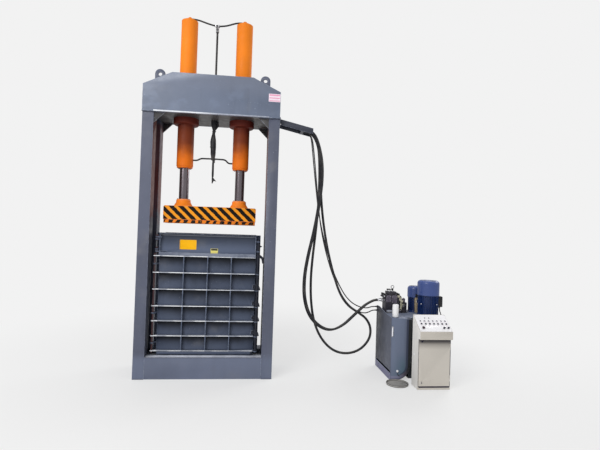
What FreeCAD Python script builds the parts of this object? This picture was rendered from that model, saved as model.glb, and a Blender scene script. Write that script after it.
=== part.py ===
"""Upright recycling baler: a portal press with two hydraulic rams over a ribbed bale chamber,
and beside it its power pack and control desk, joined to the press by hoses.

Millimetres. X runs to the right, Y to the back, Z up. The origin is on the floor, under the
middle of the press frame, so both rams stand at Y = 0.
"""
import FreeCAD
import Part
import Sketcher
import math
import os
import re
from FreeCAD import Vector, Rotation

doc = FreeCAD.newDocument("recycling_baler")

# ---------------------------------------------------------------- driving dimensions

SIZES = {
    # press frame
    "frame_w": 1800, "frame_d": 665, "column_w": 145, "post_d": 200, "wall": 12,
    "head_bottom": 3486, "head_corner": "=head_bottom + 354", "head_top": "=head_corner + 174",
    "head_flat": "=frame_w - 740",
    "head_plate": 30, "head_floor": 30, "head_cover": 16, "tube_gap": 0.5,
    "base_h": 282, "base_wall": 16, "gusset": 140, "gusset_t": 20,
    "lug_x": "=frame_w/2 - 210", "lug_z": "=head_top - 29", "lug_r": 66, "lug_bore": 24, "lug_t": 25,
    # rams
    "ram_x": 382, "tube_r": 112.5, "tube_wall": 20,
    "tube_bottom": "=head_bottom - 656", "tube_top": "=head_bottom + 1398", "cap_h": 40,
    "flange_r": 172, "flange_h": 84, "rod_r": 65, "run_gap": 0.3,
    "gland_lip": 28, "gland_h": 100, "piston_h": 120,
    "rod_top": "=tube_top - 424", "rod_lead": 6,
    # bale chamber
    "room_w": "=frame_w - 2*column_w - 254", "room_d": 340, "room_floor": "=base_h + 40", "skin": 12,
    "rib_t": 12, "rib_out": 56, "side_gap": 60, "strap_w": 30, "strap_h": 12, "strap_count": 4,
    # main door
    "door_gap": 0.5, "door_low": "=room_floor + 25", "row_low": 197, "row_high": 221, "door_rib": 66,
    "door_lip": 12, "hinge_x": "=room_w/2 + skin + 52", "hinge_y": "=room_d/2 + 48", "pin_r": 12,
    "knuckle_r": 25, "pin_gap": 0.4, "bracket_t": 18, "toe_r": 24,
    # feed door above it
    "feed_low": "=door_low + 3*row_low + 3*row_high + 5", "room_top": "=feed_low + 298",
    "feed_rim": 44, "feed_rim_t": 10, "feed_hinge_x": "=room_w/2 + skin + 32", "feed_lip": 40,
    "hinge_web": 115,
    # claw locks on the right
    "lock_x": "=room_w/2 + skin + 30", "lock_y": "=hinge_y + 30", "lock_r": 16, "claw_r": 96,
    "claw_back": 24, "claw_reach": 44, "claw_t": 22, "claw_up": 6, "keeper_w": 34, "keeper_h": 52,
    "lock_play": 2, "lever_t": 18,
    # platen
    "platen_gap": 9, "ram_out": 790, "platen_low": "=tube_bottom - ram_out", "platen_h": 186,
    "sole_h": 48, "sole_in": 6,
    "boss_low_r": 132, "boss_top_r": 97, "boss_h": 100, "boss_band": 42,
    # pipes and the hose arm
    "pipe_r": 11, "arm_y": -150, "arm_w": 210, "arm_h": 78, "arm_out": 470, "arm_drop": 104,
    "arm_t": 6, "arm_z": "=head_bottom + 22", "comb_in": 130, "comb_t": 40,
    # reservoir
    "tank_x": 2500, "tank_w": 760, "tank_nose": 291, "tank_front": -427, "tank_step": 97,
    "tank_back": 300, "tank_h": 828, "tank_round": 210, "tank_edge": 36, "tank_wall": 6, "tank_floor": 130,
    "rim_front": 24, "rim_rise": 84, "slot_low": 98, "slot_h": 28,
    "lid_t": 10, "lid_over": 14,
    "tray_x": "=tank_x + 50", "tray_r": 145, "tray_h": 24, "tray_wall": 5, "seat_gap": 0.3,
    "edge_in": "=tank_edge - sqrt(tank_edge^2 - (tank_edge - tray_h)^2)",
    # motors: radius of the fan cowl, height of the barrel and of the cowl
    "m1_x": "=tank_x + 618", "m1_y": -152, "m1_r": 153, "m1_body": 300, "m1_cowl": 196,
    "m2_x": "=tank_x + 537", "m2_y": 148, "m2_r": 110, "m2_body": 230, "m2_cowl": 150,
    "motor_foot": 18, "fin_t": 5, "fin_count": 30, "cowl_wall": 3, "cowl_fit": 0.3,
    # valve block and what stands beside it
    "block_x": "=tank_x + 118", "block_y": 50, "block_w": 176, "block_d": 150, "block_h": 212,
    "block_foot": 46, "foot_w": 24, "valve_h": 60, "valve_count": 3, "coil_l": 56, "stack_cap": 38,
    "port_up": 186, "port_l": 54, "port_r": 19, "port_pitch": 40, "spindle_x": 37, "spindle_r": 7,
    "spindle_h": 40, "ring_r": 22, "ring_wire": 4, "hub_up": 18, "hub_r": 15, "hub_h": 16,
    "lever_l": 84, "lever_w": 16, "lever_h": 9, "side_coil_r": 22, "side_coil_l": 48,
    "side_block_w": 150, "side_block_h": 150,
    "filter_x": "=tank_x + 77", "filter_y": -345, "filter_r": 42, "filter_h": 181,
    "gland_x": 20, "cable_end_y": 280, "cable_end_z": "=tank_h + 56",
    "cable_pitch": 54,
    # control desk
    "desk_x": "=tank_x + 244", "desk_w": 434, "desk_front": -778, "desk_back": -565, "desk_sheet": 3,
    "lip_out": 58, "lip_low": 650, "lip_h": 100, "desk_slope": 32.5, "plinth": 46,
    "panel_t": 3, "panel_in": 4, "button_r": 10, "bezel_r": 15, "bezel_h": 5, "button_up": 9,
    "button_down": 14, "key_pitch": 58, "key_first": 58, "row_knob": 64, "row_key": 141,
    "row_lamp": 193, "row_top": 250, "knob_r": 12.5, "stop_r": 17,
    "leaf_t": 3, "leaf_gap": 0.3, "barrel_r": 3.2, "barrel_h": 40,
    # hoses and cables, outside radius
    "hose_r": 15, "loop_r": 17, "cable_r": 8,
}

sheet = doc.addObject("Spreadsheet::Sheet", "Sizes")
for row, (alias, size) in enumerate(SIZES.items(), start=1):
    sheet.set(f"A{row}", alias)
    sheet.set(f"B{row}", str(size))
    sheet.setAlias(f"B{row}", alias)
doc.recompute()


def formula(text):
    """The same formula, reading each named size from the sheet."""
    return re.sub(r"[A-Za-z_]\w*",
                  lambda word: "Sizes." + word[0] if word[0] in SIZES else word[0], str(text))


def value(text):
    """What a formula of named sizes comes to now."""
    return float(sheet.evalExpression(formula(text)))


def bind(thing, **formulas):
    for prop, text in formulas.items():
        thing.setExpression(prop, formula(text))


def place(thing, x="0", y="0", z="0", axis=None, turn=None):
    """Puts a piece at a point, turned about an axis."""
    if axis is not None:
        thing.Placement.Rotation = Rotation(Vector(*axis), value(turn))
        thing.setExpression("Placement.Rotation.Angle", formula(turn))
    for letter, text in zip("xyz", (x, y, z)):
        thing.setExpression("Placement.Base." + letter, formula(text))
    return thing


# ---------------------------------------------------------------- the shapes that pieces are made of

def box(name, x, y, z, length, width, height):
    piece = doc.addObject("Part::Box", name)
    bind(piece, Length=length, Width=width, Height=height)
    return place(piece, x, y, z)


def rod(name, x, y, z, radius, length, along="Z"):
    """A cylinder from a point along +X, +Y or +Z."""
    piece = doc.addObject("Part::Cylinder", name)
    bind(piece, Radius=radius, Height=length)
    turned = {"X": ((0, 1, 0), 90), "Y": ((1, 0, 0), -90), "Z": (None, None)}[along]
    return place(piece, x, y, z, *turned)


def cone(name, x, y, z, low_radius, top_radius, height):
    piece = doc.addObject("Part::Cone", name)
    bind(piece, Radius1=low_radius, Radius2=top_radius, Height=height)
    return place(piece, x, y, z)


def fuse(name, *pieces):
    joined = doc.addObject("Part::MultiFuse", name)
    joined.Shapes = list(pieces)
    return joined


def cut(name, base, *tools):
    tool = tools[0] if len(tools) == 1 else fuse(name + "_tools", *tools)
    piece = doc.addObject("Part::Cut", name)
    piece.Base = base
    piece.Tool = tool
    return piece


def group(name, *pieces):
    several = doc.addObject("Part::Compound", name)
    several.Links = list(pieces)
    return several


def origin_part(body, role):
    return [part for part in body.Origin.OriginFeatures if part.Role == role][0]


def outline(body, name, points, circles=(), plane="XZ_Plane"):
    """A sketch of one closed polygon and round holes, with every corner bound to its formulas."""
    sketch = body.newObject("Sketcher::SketchObject", name)
    sketch.AttachmentSupport = (origin_part(body, plane), [""])
    sketch.MapMode = "FlatFace"
    spots = [Vector(value(a), value(b), 0) for a, b in points]
    count = len(spots)
    for i in range(count):
        sketch.addGeometry(Part.LineSegment(spots[i], spots[(i + 1) % count]), False)
    for i in range(count):
        sketch.addConstraint(Sketcher.Constraint("Coincident", i, 2, (i + 1) % count, 1))
    for i, (across, up) in enumerate(points):
        for kind, text, now in (("DistanceX", across, spots[i].x), ("DistanceY", up, spots[i].y)):
            index = sketch.addConstraint(Sketcher.Constraint(kind, -1, 1, i, 1, now))
            sketch.setExpression(f"Constraints[{index}]", formula(text))
    for across, up, radius in circles:
        middle = Vector(value(across), value(up), 0)
        circle = sketch.addGeometry(Part.Circle(middle, Vector(0, 0, 1), value(radius)), False)
        for kind, text, now in (("DistanceX", across, middle.x), ("DistanceY", up, middle.y)):
            index = sketch.addConstraint(Sketcher.Constraint(kind, -1, 1, circle, 3, now))
            sketch.setExpression(f"Constraints[{index}]", formula(text))
        index = sketch.addConstraint(Sketcher.Constraint("Radius", circle, value(radius)))
        sketch.setExpression(f"Constraints[{index}]", formula(radius))
    return sketch


def plate(name, points, start, thickness, plane="XZ_Plane", circles=()):
    """A flat plate or a folded section: an outline padded from start across its plane."""
    body = doc.addObject("PartDesign::Body", name)
    sketch = outline(body, name + "_outline", points, circles, plane)
    pad = body.newObject("PartDesign::Pad", name + "_pad")
    pad.Profile = sketch
    bind(pad, Length=thickness)
    if plane == "XZ_Plane":
        return place(body, y=f"({start}) + ({thickness})")
    if plane == "YZ_Plane":
        return place(body, x=start)
    return place(body, z=start)


def turned(name, profile, x="0", y="0", z="0"):
    """A turned piece: a half section of (radius, height) corners spun about the vertical."""
    body = doc.addObject("PartDesign::Body", name)
    sketch = outline(body, name + "_section", profile)
    spin = body.newObject("PartDesign::Revolution", name + "_spin")
    spin.Profile = sketch
    spin.ReferenceAxis = (sketch, ["V_Axis"])
    spin.Angle = 360
    return place(body, x, y, z)


NODES = {}


def node(label, piece):
    """Names a finished sub-part. Its label names its file."""
    piece.Label = label
    NODES[label] = piece
    return piece


# ---------------------------------------------------------------- press frame

def column(label, side):
    """A fabricated column: a box post in front and behind, tied by a plate on the outside."""
    inner, outer = "frame_w/2 - column_w", "frame_w/2"
    posts = []
    for where, y in (("front", "-frame_d/2"), ("rear", "frame_d/2 - post_d")):
        low_x = inner if side > 0 else f"-({outer})"
        shell = box(f"{label}_{where}_shell", low_x, y, "0", "column_w", "post_d", "head_bottom")
        hollow = box(f"{label}_{where}_hollow", f"{low_x} + wall", f"{y} + wall", "wall",
                     "column_w - 2*wall", "post_d - 2*wall", "head_bottom - 2*wall")
        posts.append(cut(f"{label}_{where}_post", shell, hollow))
    tie_x = f"{outer} - wall" if side > 0 else f"-({outer})"
    tie = box(f"{label}_tie", tie_x, "-frame_d/2 + post_d", "0",
              "wall", "frame_d - 2*post_d", "head_bottom")
    node(label, fuse(label, *posts, tie))


def base_frame():
    """Front and rear box beams between the columns, on one sole plate."""
    beams = []
    inner = "frame_w - 2*column_w"
    for where, y in (("front", "-frame_d/2"), ("rear", "frame_d/2 - post_d")):
        shell = box(f"base_{where}_shell", f"-({inner})/2", y, "0", inner, "post_d", "base_h")
        hollow = box(f"base_{where}_hollow", f"-({inner})/2 + wall", f"{y} + base_wall", "base_wall",
                     f"{inner} - 2*wall", "post_d - 2*base_wall", "base_h - 2*base_wall")
        beams.append(cut(f"base_{where}_beam", shell, hollow))
    sole = box("base_sole", f"-({inner})/2", "-frame_d/2 + post_d", "0",
               inner, "frame_d - 2*post_d", "base_wall")
    joists = [box(f"base_joist_{i}", f"({i} - 1)*room_w/3 - base_wall/2", "-frame_d/2 + post_d",
                  "base_wall", "base_wall", "frame_d - 2*post_d", "base_h - base_wall")
              for i in range(3)]
    node("base_frame", fuse("base_frame", *beams, sole, *joists))


def head_outline(inset):
    """The head's outline from its lower left corner, drawn in by an inset."""
    half, flat = f"(frame_w/2 - {inset})", f"(head_flat/2 - {inset}*0.25)"
    return [(f"-{half}", "head_bottom"), (half, "head_bottom"),
            (half, f"head_corner - {inset}*0.4"), (flat, f"head_top - {inset}"),
            (f"-{flat}", f"head_top - {inset}"), (f"-{half}", f"head_corner - {inset}*0.4")]


def head():
    """Two chamfered face plates, a thick floor that carries the rams, and a folded cover."""
    node("head_front_plate", plate("head_front_plate", head_outline("0"),
                                   "-frame_d/2 - head_plate", "head_plate"))
    node("head_rear_plate", plate("head_rear_plate", head_outline("0"), "frame_d/2", "head_plate"))
    hole = "tube_r + tube_gap"
    floor = plate(
        "head_floor_plate",
        [("-frame_w/2", "-frame_d/2"), ("frame_w/2", "-frame_d/2"),
         ("frame_w/2", "frame_d/2"), ("-frame_w/2", "frame_d/2")],
        "head_bottom", "head_floor", "XY_Plane",
        [("-ram_x", "0", hole), ("ram_x", "0", hole), ("0", "0", "pipe_r + 14")])
    node("head_floor", fuse("head_floor", floor, *corner_gussets()))
    floor_top = "head_bottom + head_floor"
    outer = [(a, b if b != "head_bottom" else floor_top) for a, b in head_outline("0")]
    inner = [(a, b if b != "head_bottom" else floor_top) for a, b in head_outline("head_cover")]
    section = [outer[1], outer[2], outer[3], outer[4], outer[5], outer[0],
               inner[0], inner[5], inner[4], inner[3], inner[2], inner[1]]
    sheet_metal = plate("head_cover_sheet", section, "-frame_d/2", "frame_d")
    holes = [rod(f"head_cover_hole_{i}", x, "0", "head_corner", radius, "head_top - head_corner + 20")
             for i, (x, radius) in enumerate((("-ram_x", hole), ("ram_x", hole), ("0", "pipe_r + 14")))]
    node("head_cover", cut("head_cover", sheet_metal, *holes))


def corner_gussets():
    """Triangular plates under the head's floor, in the four corners beside the columns."""
    plates = []
    inner = "(frame_w/2 - column_w)"
    for side, sign in (("left", "-"), ("right", "")):
        for where, y in (("front", "-frame_d/2 + 14"), ("rear", "frame_d/2 - gusset_t - 14")):
            corners = [(f"{sign}{inner}", "head_bottom"),
                       (f"{sign}({inner} - gusset)", "head_bottom"),
                       (f"{sign}{inner}", "head_bottom - gusset")]
            plates.append(plate(f"gusset_{side}_{where}", corners, y, "gusset_t"))
    return plates


def lifting_lugs():
    """Round-headed lugs welded behind the front plate, for a crane shackle."""
    lugs = []
    start = "-frame_d/2"
    for side, sign in (("left", "-"), ("right", "")):
        x = f"{sign}lug_x"
        head_disc = rod(f"lug_{side}_head", x, start, "lug_z", "lug_r", "lug_t", "Y")
        foot = box(f"lug_{side}_foot", f"{x} - lug_r", start, "lug_z - 1.7*lug_r",
                   "2*lug_r", "lug_t", "1.7*lug_r")
        eye = rod(f"lug_{side}_eye", x, f"{start} - 1", "lug_z", "lug_bore", "lug_t + 2", "Y")
        corner = [(a, b) for a, b in head_outline("0")]
        hidden = plate(f"lug_{side}_trim", corner, f"{start} - 1", "lug_t + 2")
        lugs.append(cut(f"lug_{side}", cut(f"lug_{side}_blank",
                                           fuse(f"lug_{side}_solid", head_disc, foot), hidden), eye))
    node("lifting_lugs", group("lifting_lugs", *lugs))


# ---------------------------------------------------------------- rams

def ram(side, sign):
    """A closed tube with a thick collar under the head, and the rod with its piston inside."""
    x = f"{sign}ram_x"
    bore = "tube_r - tube_wall"
    tube = turned(f"{side}_cylinder", [
        (bore, "tube_bottom"), ("tube_r", "tube_bottom"),
        ("tube_r", "head_bottom - flange_h - 10"), ("flange_r - 10", "head_bottom - flange_h"),
        ("flange_r", "head_bottom - flange_h + 10"), ("flange_r", "head_bottom"),
        ("tube_r", "head_bottom"), ("tube_r", "tube_top - 26"), ("tube_r - 46", "tube_top"),
        ("0", "tube_top"), ("0", "tube_top - cap_h"), (bore, "tube_top - cap_h")], x=x)
    node(f"{side}_cylinder", tube)
    shaft = turned(f"{side}_ram_rod", [
        ("0", "platen_low + sole_h + platen_h"), ("rod_r", "platen_low + sole_h + platen_h"),
        ("rod_r", "rod_top - piston_h"), (f"{bore} - run_gap - rod_lead", "rod_top - piston_h"),
        (f"{bore} - run_gap", "rod_top - piston_h + rod_lead"),
        (f"{bore} - run_gap", "rod_top - rod_lead"),
        (f"{bore} - run_gap - rod_lead", "rod_top"), ("0", "rod_top")], x=x)
    node(f"{side}_ram_rod", shaft)
    return turned(f"{side}_gland", [
        ("rod_r + run_gap", "tube_bottom - gland_lip"), ("tube_r - 14", "tube_bottom - gland_lip"),
        ("tube_r - 6", "tube_bottom - gland_lip + 8"), ("tube_r - 6", "tube_bottom"),
        (f"{bore} - 0.05", "tube_bottom"), (f"{bore} - 0.05", "tube_bottom + gland_h"),
        ("rod_r + run_gap", "tube_bottom + gland_h")], x=x)


def rams():
    glands = [ram("left", "-"), ram("right", "")]
    node("cylinder_glands", group("cylinder_glands", *glands))


# ---------------------------------------------------------------- bale chamber

ROWS = [f"door_low + {i}*row_low" for i in range(4)]
ROWS += [f"door_low + 3*row_low + {i}*row_high" for i in range(1, 4)]
LOCK_ROWS = (1, 2, 3, 4)
UPRIGHTS = [f"({i} - 1)*room_w/4" for i in range(3)]


def rib_bottom(row):
    return f"{row} - door_lip*0.75"


def chamber_floor():
    """A thick floor on the base beams, with strap slots cut across it."""
    slab = box("floor_slab", "-room_w/2 - skin", "-room_d/2 - skin", "base_h",
               "room_w + 2*skin", "room_d + 2*skin", "room_floor - base_h")
    slots = [box(f"floor_slot_{i}", f"({i} - 1.5)*room_w/4 - strap_w/2", "-room_d/2 - skin - 1",
                 "room_floor - strap_h", "strap_w", "room_d + 2*skin + 2", "strap_h + 1")
             for i in range(int(value("strap_count")))]
    node("chamber_floor", cut("chamber_floor", slab, *slots))


def hinge_bracket(name, x, y, z, sign, reach, thickness):
    """A flat arm from a chamber wall to a vertical pin in front of it, clear of the door's edge."""
    arm = plate(name + "_arm", [
        (f"{sign}({reach})", "-room_d/2 + 68"), (f"{sign}({reach})", "-room_d/2 + 10"),
        (f"({x}) - ({sign}18)", f"{y} + 14"), (f"({x}) + ({sign}20)", y),
        (f"({x}) + ({sign}20)", f"{y} + 30")], z, thickness, "XY_Plane")
    eye = rod(name + "_eye", x, y, z, "knuckle_r", thickness)
    return arm, eye


def side_wall(label, sign):
    """A ribbed side of the chamber. The left one carries the door hinges, the right one the locks."""
    near, far = "room_w/2", "room_w/2 + skin"
    low_x = near if sign == "" else f"-({far})"
    pieces = [box(f"{label}_skin", low_x, "-room_d/2", "room_floor",
                  "skin", "room_d", "room_top - room_floor")]
    rib_x = far if sign == "" else f"-({far} + side_gap)"
    for i, z in enumerate(ROWS + ["room_top - rib_t"]):
        pieces.append(box(f"{label}_rib_{i}", rib_x, "-room_d/2 + 90", z,
                          "side_gap", "room_d - 90", "rib_t"))
    for i in range(2):
        pieces.append(box(f"{label}_upright_{i}", rib_x, f"-room_d/2 + 110 + {i}*150", "room_floor",
                          "side_gap", "rib_t", "room_top - room_floor"))
    if sign == "-":
        pin, feed, bore = ("-hinge_x", "-hinge_y"), ("-feed_hinge_x", "-hinge_y"), "pin_r + pin_gap"
        levels = [(pin, f"{ROWS[i]} + {gap}/2 - bracket_t/2", "bracket_t")
                  for i, gap in ((0, "row_low"), (2, "row_low"), (5, "row_high"))]
    else:
        pin = feed = ("lock_x", "-lock_y")
        bore = "lock_r + pin_gap"
        levels = [(pin, rib_bottom(row), "door_lip") for row in ROWS[:6]]
    levels += [(feed, "feed_low + 70", "bracket_t"), (feed, "room_top - 96", "bracket_t")]
    bores = []
    for i, ((x, y), z, thickness) in enumerate(levels):
        pieces += hinge_bracket(f"{label}_bracket_{i}", x, y, z, sign, far, thickness)
        bores.append(rod(f"{label}_bore_{i}", x, y, f"{z} - 1", bore, f"{thickness} + 2"))
    node(label, cut(label, fuse(f"{label}_solid", *pieces), *bores))


def rear_wall():
    """The back of the chamber, ribbed like the door in front."""
    pieces = [box("rear_skin", "-room_w/2 - skin", "room_d/2", "room_floor",
                  "room_w + 2*skin", "skin", "room_top - room_floor")]
    for i, z in enumerate(ROWS + ["room_top - rib_t"]):
        pieces.append(box(f"rear_rib_{i}", "-room_w/2 - skin", "room_d/2 + skin", z,
                          "room_w + 2*skin", "rib_out", "rib_t"))
    for i, x in enumerate(UPRIGHTS):
        pieces.append(box(f"rear_upright_{i}", f"{x} - rib_t/2", "room_d/2 + skin", "room_floor",
                          "rib_t", "rib_out", "room_top - room_floor"))
    node("chamber_rear_wall", fuse("chamber_rear_wall", *pieces))


def knuckled_rib(name, z, thickness):
    """A door rib that runs on past the left edge and ends round the hinge pin."""
    strip = box(name + "_strip", "-hinge_x", "-hinge_y - door_rib/2 + 16", z,
                "hinge_x + room_w/2 + skin", "door_rib - 14", thickness)
    eye = rod(name + "_eye", "-hinge_x", "-hinge_y", z, "knuckle_r", thickness)
    return strip, eye


def main_door():
    """The bale door: a skin with seven long ribs and three uprights, hung on its rib ends, with
    keepers for the claws and a round toe along its foot."""
    back = "-room_d/2 - door_gap"
    pieces = [box("door_skin", "-room_w/2 - skin", f"{back} - skin", "room_floor + 10",
                  "room_w + 2*skin", "skin", "door_low + 3*row_low + 3*row_high - room_floor - 10")]
    for i, z in enumerate(ROWS):
        pieces += knuckled_rib(f"door_rib_{i}", rib_bottom(z), "door_lip")
    for i, x in enumerate(UPRIGHTS):
        pieces.append(box(f"door_upright_{i}", f"{x} - rib_t/2", f"{back} - skin - door_rib + 16",
                          "door_low", "rib_t", "door_rib - 16", "3*row_low + 3*row_high - 6"))
    for i in LOCK_ROWS:
        pieces.append(box(f"door_keeper_{i}", "room_w/2 + skin - keeper_w", "-lock_y + claw_t/2 + lock_play",
                          f"{ROWS[i]} + 4*claw_up", "keeper_w",
                          "lock_y - claw_t/2 - lock_play - room_d/2 - door_gap - skin/2", "keeper_h"))
    pieces.append(rod("door_toe", "-room_w/2 + 8", f"{back} - skin - 3 - toe_r",
                      f"{rib_bottom(ROWS[0])} + 1 - toe_r", "toe_r", "room_w - 16", "X"))
    bore = rod("door_bore", "-hinge_x", "-hinge_y", "door_low - 40", "pin_r + pin_gap",
               "feed_low - door_low + 80")
    node("main_door", cut("main_door", fuse("door_solid", *pieces), bore))


def feed_door():
    """The short upper door: a pan with a deep rim, hung from two lugs on the left."""
    back = "-room_d/2 - door_gap"
    low, high, half = "feed_low", "room_top", "room_w/2 + skin"
    pan = box("feed_pan", f"-({half})", f"{back} - skin", low, f"2*({half})", "skin",
              f"{high} - {low}")
    rim_y = f"{back} - skin - feed_rim"
    rims = [
        box("feed_rim_top", f"-({half})", rim_y, f"{high} - feed_rim_t",
            f"2*({half})", "feed_rim", "feed_rim_t"),
        box("feed_rim_low", f"-({half})", f"{rim_y} - 8", low, f"2*({half})", "8", "feed_lip"),
        box("feed_rim_foot", f"-({half})", rim_y, low, f"2*({half})", "feed_rim", "feed_rim_t"),
        box("feed_rim_left", f"-({half})", rim_y, low, "feed_rim_t", "feed_rim", f"{high} - {low}"),
        box("feed_rim_right", f"{half} - feed_rim_t", rim_y, low,
            "feed_rim_t", "feed_rim", f"{high} - {low}"),
    ]
    web = plate("feed_web", [
        (f"-({half}) + feed_rim_t/2", "-hinge_y - 9"), (f"-({half}) + hinge_web", f"{back} - skin"),
        (f"-({half}) + feed_rim_t/2", f"{back} - skin")], "feed_low + 40", "bracket_t", "XY_Plane")
    lugs = [web]
    bores = []
    for i, z in enumerate(("feed_low + 40", "room_top - 66")):
        lugs.append(box(f"feed_lug_{i}", "-feed_hinge_x", "-hinge_y - 9", z,
                        "feed_hinge_x - room_w/2 - skin + 30", "18", "bracket_t"))
        lugs.append(rod(f"feed_eye_{i}", "-feed_hinge_x", "-hinge_y", z, "knuckle_r - 4", "bracket_t"))
        bores.append(rod(f"feed_bore_{i}", "-feed_hinge_x", "-hinge_y", f"{z} - 1",
                         "pin_r + pin_gap", "bracket_t + 2"))
    node("feed_door", cut("feed_door", fuse("feed_solid", pan, *rims, *lugs), *bores))


def hinge_pins():
    """One long rod through the main door's knuckles, and two short pins for the feed door."""
    def pin(name, x, z, length):
        shank = rod(name + "_shank", x, "-hinge_y", z, "pin_r", length)
        cap = rod(name + "_cap", x, "-hinge_y", f"{z} + {length}", "pin_r + 7", "10")
        return fuse(name, shank, cap)
    pins = [pin("long_pin", "-hinge_x", "door_low - 30", "3*row_low + 3*row_high + 48")]
    for i, z in enumerate(("feed_low + 30", "room_top - 106")):
        pins.append(pin(f"feed_pin_{i}", "-feed_hinge_x", z, "70"))
    node("hinge_pins", group("hinge_pins", *pins))


def claw(name, z):
    """A lock claw that points away from the door: a plate whose upper edge falls in one round."""
    across, start = "lock_x + claw_reach - claw_r", "-lock_y - claw_t/2"
    disc = rod(name + "_disc", across, start, z, "claw_r", "claw_t", "Y")
    keep = box(name + "_keep", "lock_x - claw_back", start, z, "claw_back + claw_reach", "claw_t", "claw_r")
    quarter = doc.addObject("Part::Common", name + "_quarter")
    quarter.Base = disc
    quarter.Tool = keep
    return quarter


def lock_shaft():
    """The vertical lock bar on the right: claws swing over the door's edge, a bent lever turns it."""
    pieces = [rod("lock_bar", "lock_x", "-lock_y", "door_low - 18", "lock_r", "feed_low - door_low + 62")]
    for i in LOCK_ROWS:
        pieces.append(claw(f"lock_claw_{i}", f"{ROWS[i]} + claw_up"))
    bends = ((0, 44), (34, 34), (74, 0), (78, -76), (58, -80), (46, -22), (22, -2), (0, 6))
    lever = plate("lock_lever", [(f"lock_x + {out}", f"feed_low + {up}") for out, up in bends],
                  "-lock_y - lever_t/2", "lever_t")
    node("lock_shaft", fuse("lock_shaft", *pieces, lever))


def feed_latch():
    """A short claw with a pointed nose that holds the feed door."""
    bar = rod("latch_bar", "lock_x", "-lock_y", "feed_low + 50", "lock_r", "room_top - feed_low - 110")
    rim = "room_d/2 + door_gap + skin + feed_rim + lock_play"
    arm = box("latch_arm", "lock_x", "-lock_y - 8", "room_top - 160", "claw_reach - 12",
              f"lock_y + 8 - ({rim})", "24")
    nose = doc.addObject("Part::Cone", "latch_nose")
    bind(nose, Radius1="12", Radius2="3", Height="26")
    place(nose, "lock_x + claw_reach - 18", "-lock_y + 4", "room_top - 148", (0, 1, 0), "90")
    node("feed_latch", fuse("feed_latch", bar, arm, nose))


# ---------------------------------------------------------------- platen

def platen():
    """The pressing beam with its two rod bosses, over a thick sole plate."""
    half_w, half_d = "(room_w/2 - platen_gap)", "(room_d/2 - platen_gap)"
    base = "platen_low + sole_h"
    beam = plate("platen_beam", [
        (f"-{half_w}", base), (half_w, base), (half_w, f"{base} + platen_h - 14"),
        (f"{half_w} - 14", f"{base} + platen_h"), (f"-{half_w} + 14", f"{base} + platen_h"),
        (f"-{half_w}", f"{base} + platen_h - 14")], f"-{half_d}", f"2*{half_d}")
    top = f"{base} + platen_h"
    bosses = []
    for side, sign in (("left", "-"), ("right", "")):
        bosses.append(turned(f"{side}_boss", [
            ("rod_r + run_gap", top), ("boss_low_r", top), ("boss_top_r + 4", f"{top} + boss_band + 8"),
            ("boss_top_r", f"{top} + boss_band + 18"), ("boss_top_r", f"{top} + boss_h - 12"),
            ("boss_top_r - 12", f"{top} + boss_h"), ("rod_r + run_gap", f"{top} + boss_h")],
            x=f"{sign}ram_x"))
    node("platen", fuse("platen", beam, *bosses))
    node("platen_sole", box("platen_sole", f"-{half_w} + sole_in", f"-{half_d} + sole_in", "platen_low",
                            f"2*({half_w} - sole_in)", f"2*({half_d} - sole_in)", "sole_h"))


# ---------------------------------------------------------------- pipes and hose arm

def bent_tube(name, points, radius):
    """A tube along straight runs joined by tangent arcs, as large as the runs beside them allow."""
    radius = value(radius)
    spots = [Vector(*[value(c) if isinstance(c, str) else c for c in point]) for point in points]
    runs = [(b - a).Length for a, b in zip(spots, spots[1:])]
    edges = []
    start = spots[0]
    least = None
    for i in range(1, len(spots) - 1):
        back = (spots[i - 1] - spots[i]).normalize()
        ahead = (spots[i + 1] - spots[i]).normalize()
        half_turn = (math.pi - back.getAngle(ahead)) / 2
        trim = 0.45 * min(runs[i - 1], runs[i])
        bend = trim / math.tan(half_turn)
        least = bend if least is None else min(least, bend)
        middle = (back + ahead).normalize()
        enter, leave = spots[i] + back * trim, spots[i] + ahead * trim
        crown = spots[i] + middle * (bend / math.cos(half_turn) - bend)
        if (enter - start).Length > 1e-6:
            edges.append(Part.LineSegment(start, enter).toShape())
        edges.append(Part.Arc(enter, crown, leave).toShape())
        start = leave
    edges.append(Part.LineSegment(start, spots[-1]).toShape())
    path = Part.Wire(edges)
    ring = Part.Wire([Part.Circle(spots[0], spots[1] - spots[0], radius).toShape()])
    tube = path.makePipeShell([ring], True, False)
    print(f"{name}: length {path.Length:.0f}, least bend radius {least:.0f},",
          f"volume ratio {tube.Volume / (math.pi * radius ** 2 * path.Length):.4f}")
    piece = doc.addObject("Part::Feature", name)
    piece.Shape = tube
    return piece


def top_pipe():
    """The return line between the two cylinder caps, with a tee and a drop into the head."""
    top = value("tube_top")
    left = bent_tube("top_pipe_left", [
        ("-ram_x", 0, "tube_top + 18"), ("-ram_x + 110", 0, "tube_top + 12"),
        (-120, 0, "tube_top - 34"), (-13, 0, "tube_top - 56")], "pipe_r")
    right = bent_tube("top_pipe_right", [
        (13, 0, "tube_top - 56"), (120, 0, "tube_top - 42"),
        ("ram_x - 110", 0, "tube_top + 14"), ("ram_x", 0, "tube_top + 18")], "pipe_r")
    tee = rod("top_tee", "-26", "0", f"{top - 56}", "pipe_r + 7", "52", "X")
    nut = rod("top_tee_nut", "0", "0", "tube_top - 150", "pipe_r + 9", "96")
    drop = rod("top_drop", "0", "0", "head_bottom - 300", "pipe_r + 3", "tube_top - 150 - head_bottom + 300")
    ports = [rod(f"top_port_{i}", x, "0", "tube_top + 0.1", "pipe_r + 9", "34")
             for i, x in enumerate(("-ram_x", "ram_x"))]
    node("top_pipe", fuse("top_pipe", left, right, tee, nut, drop, *ports))


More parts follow.
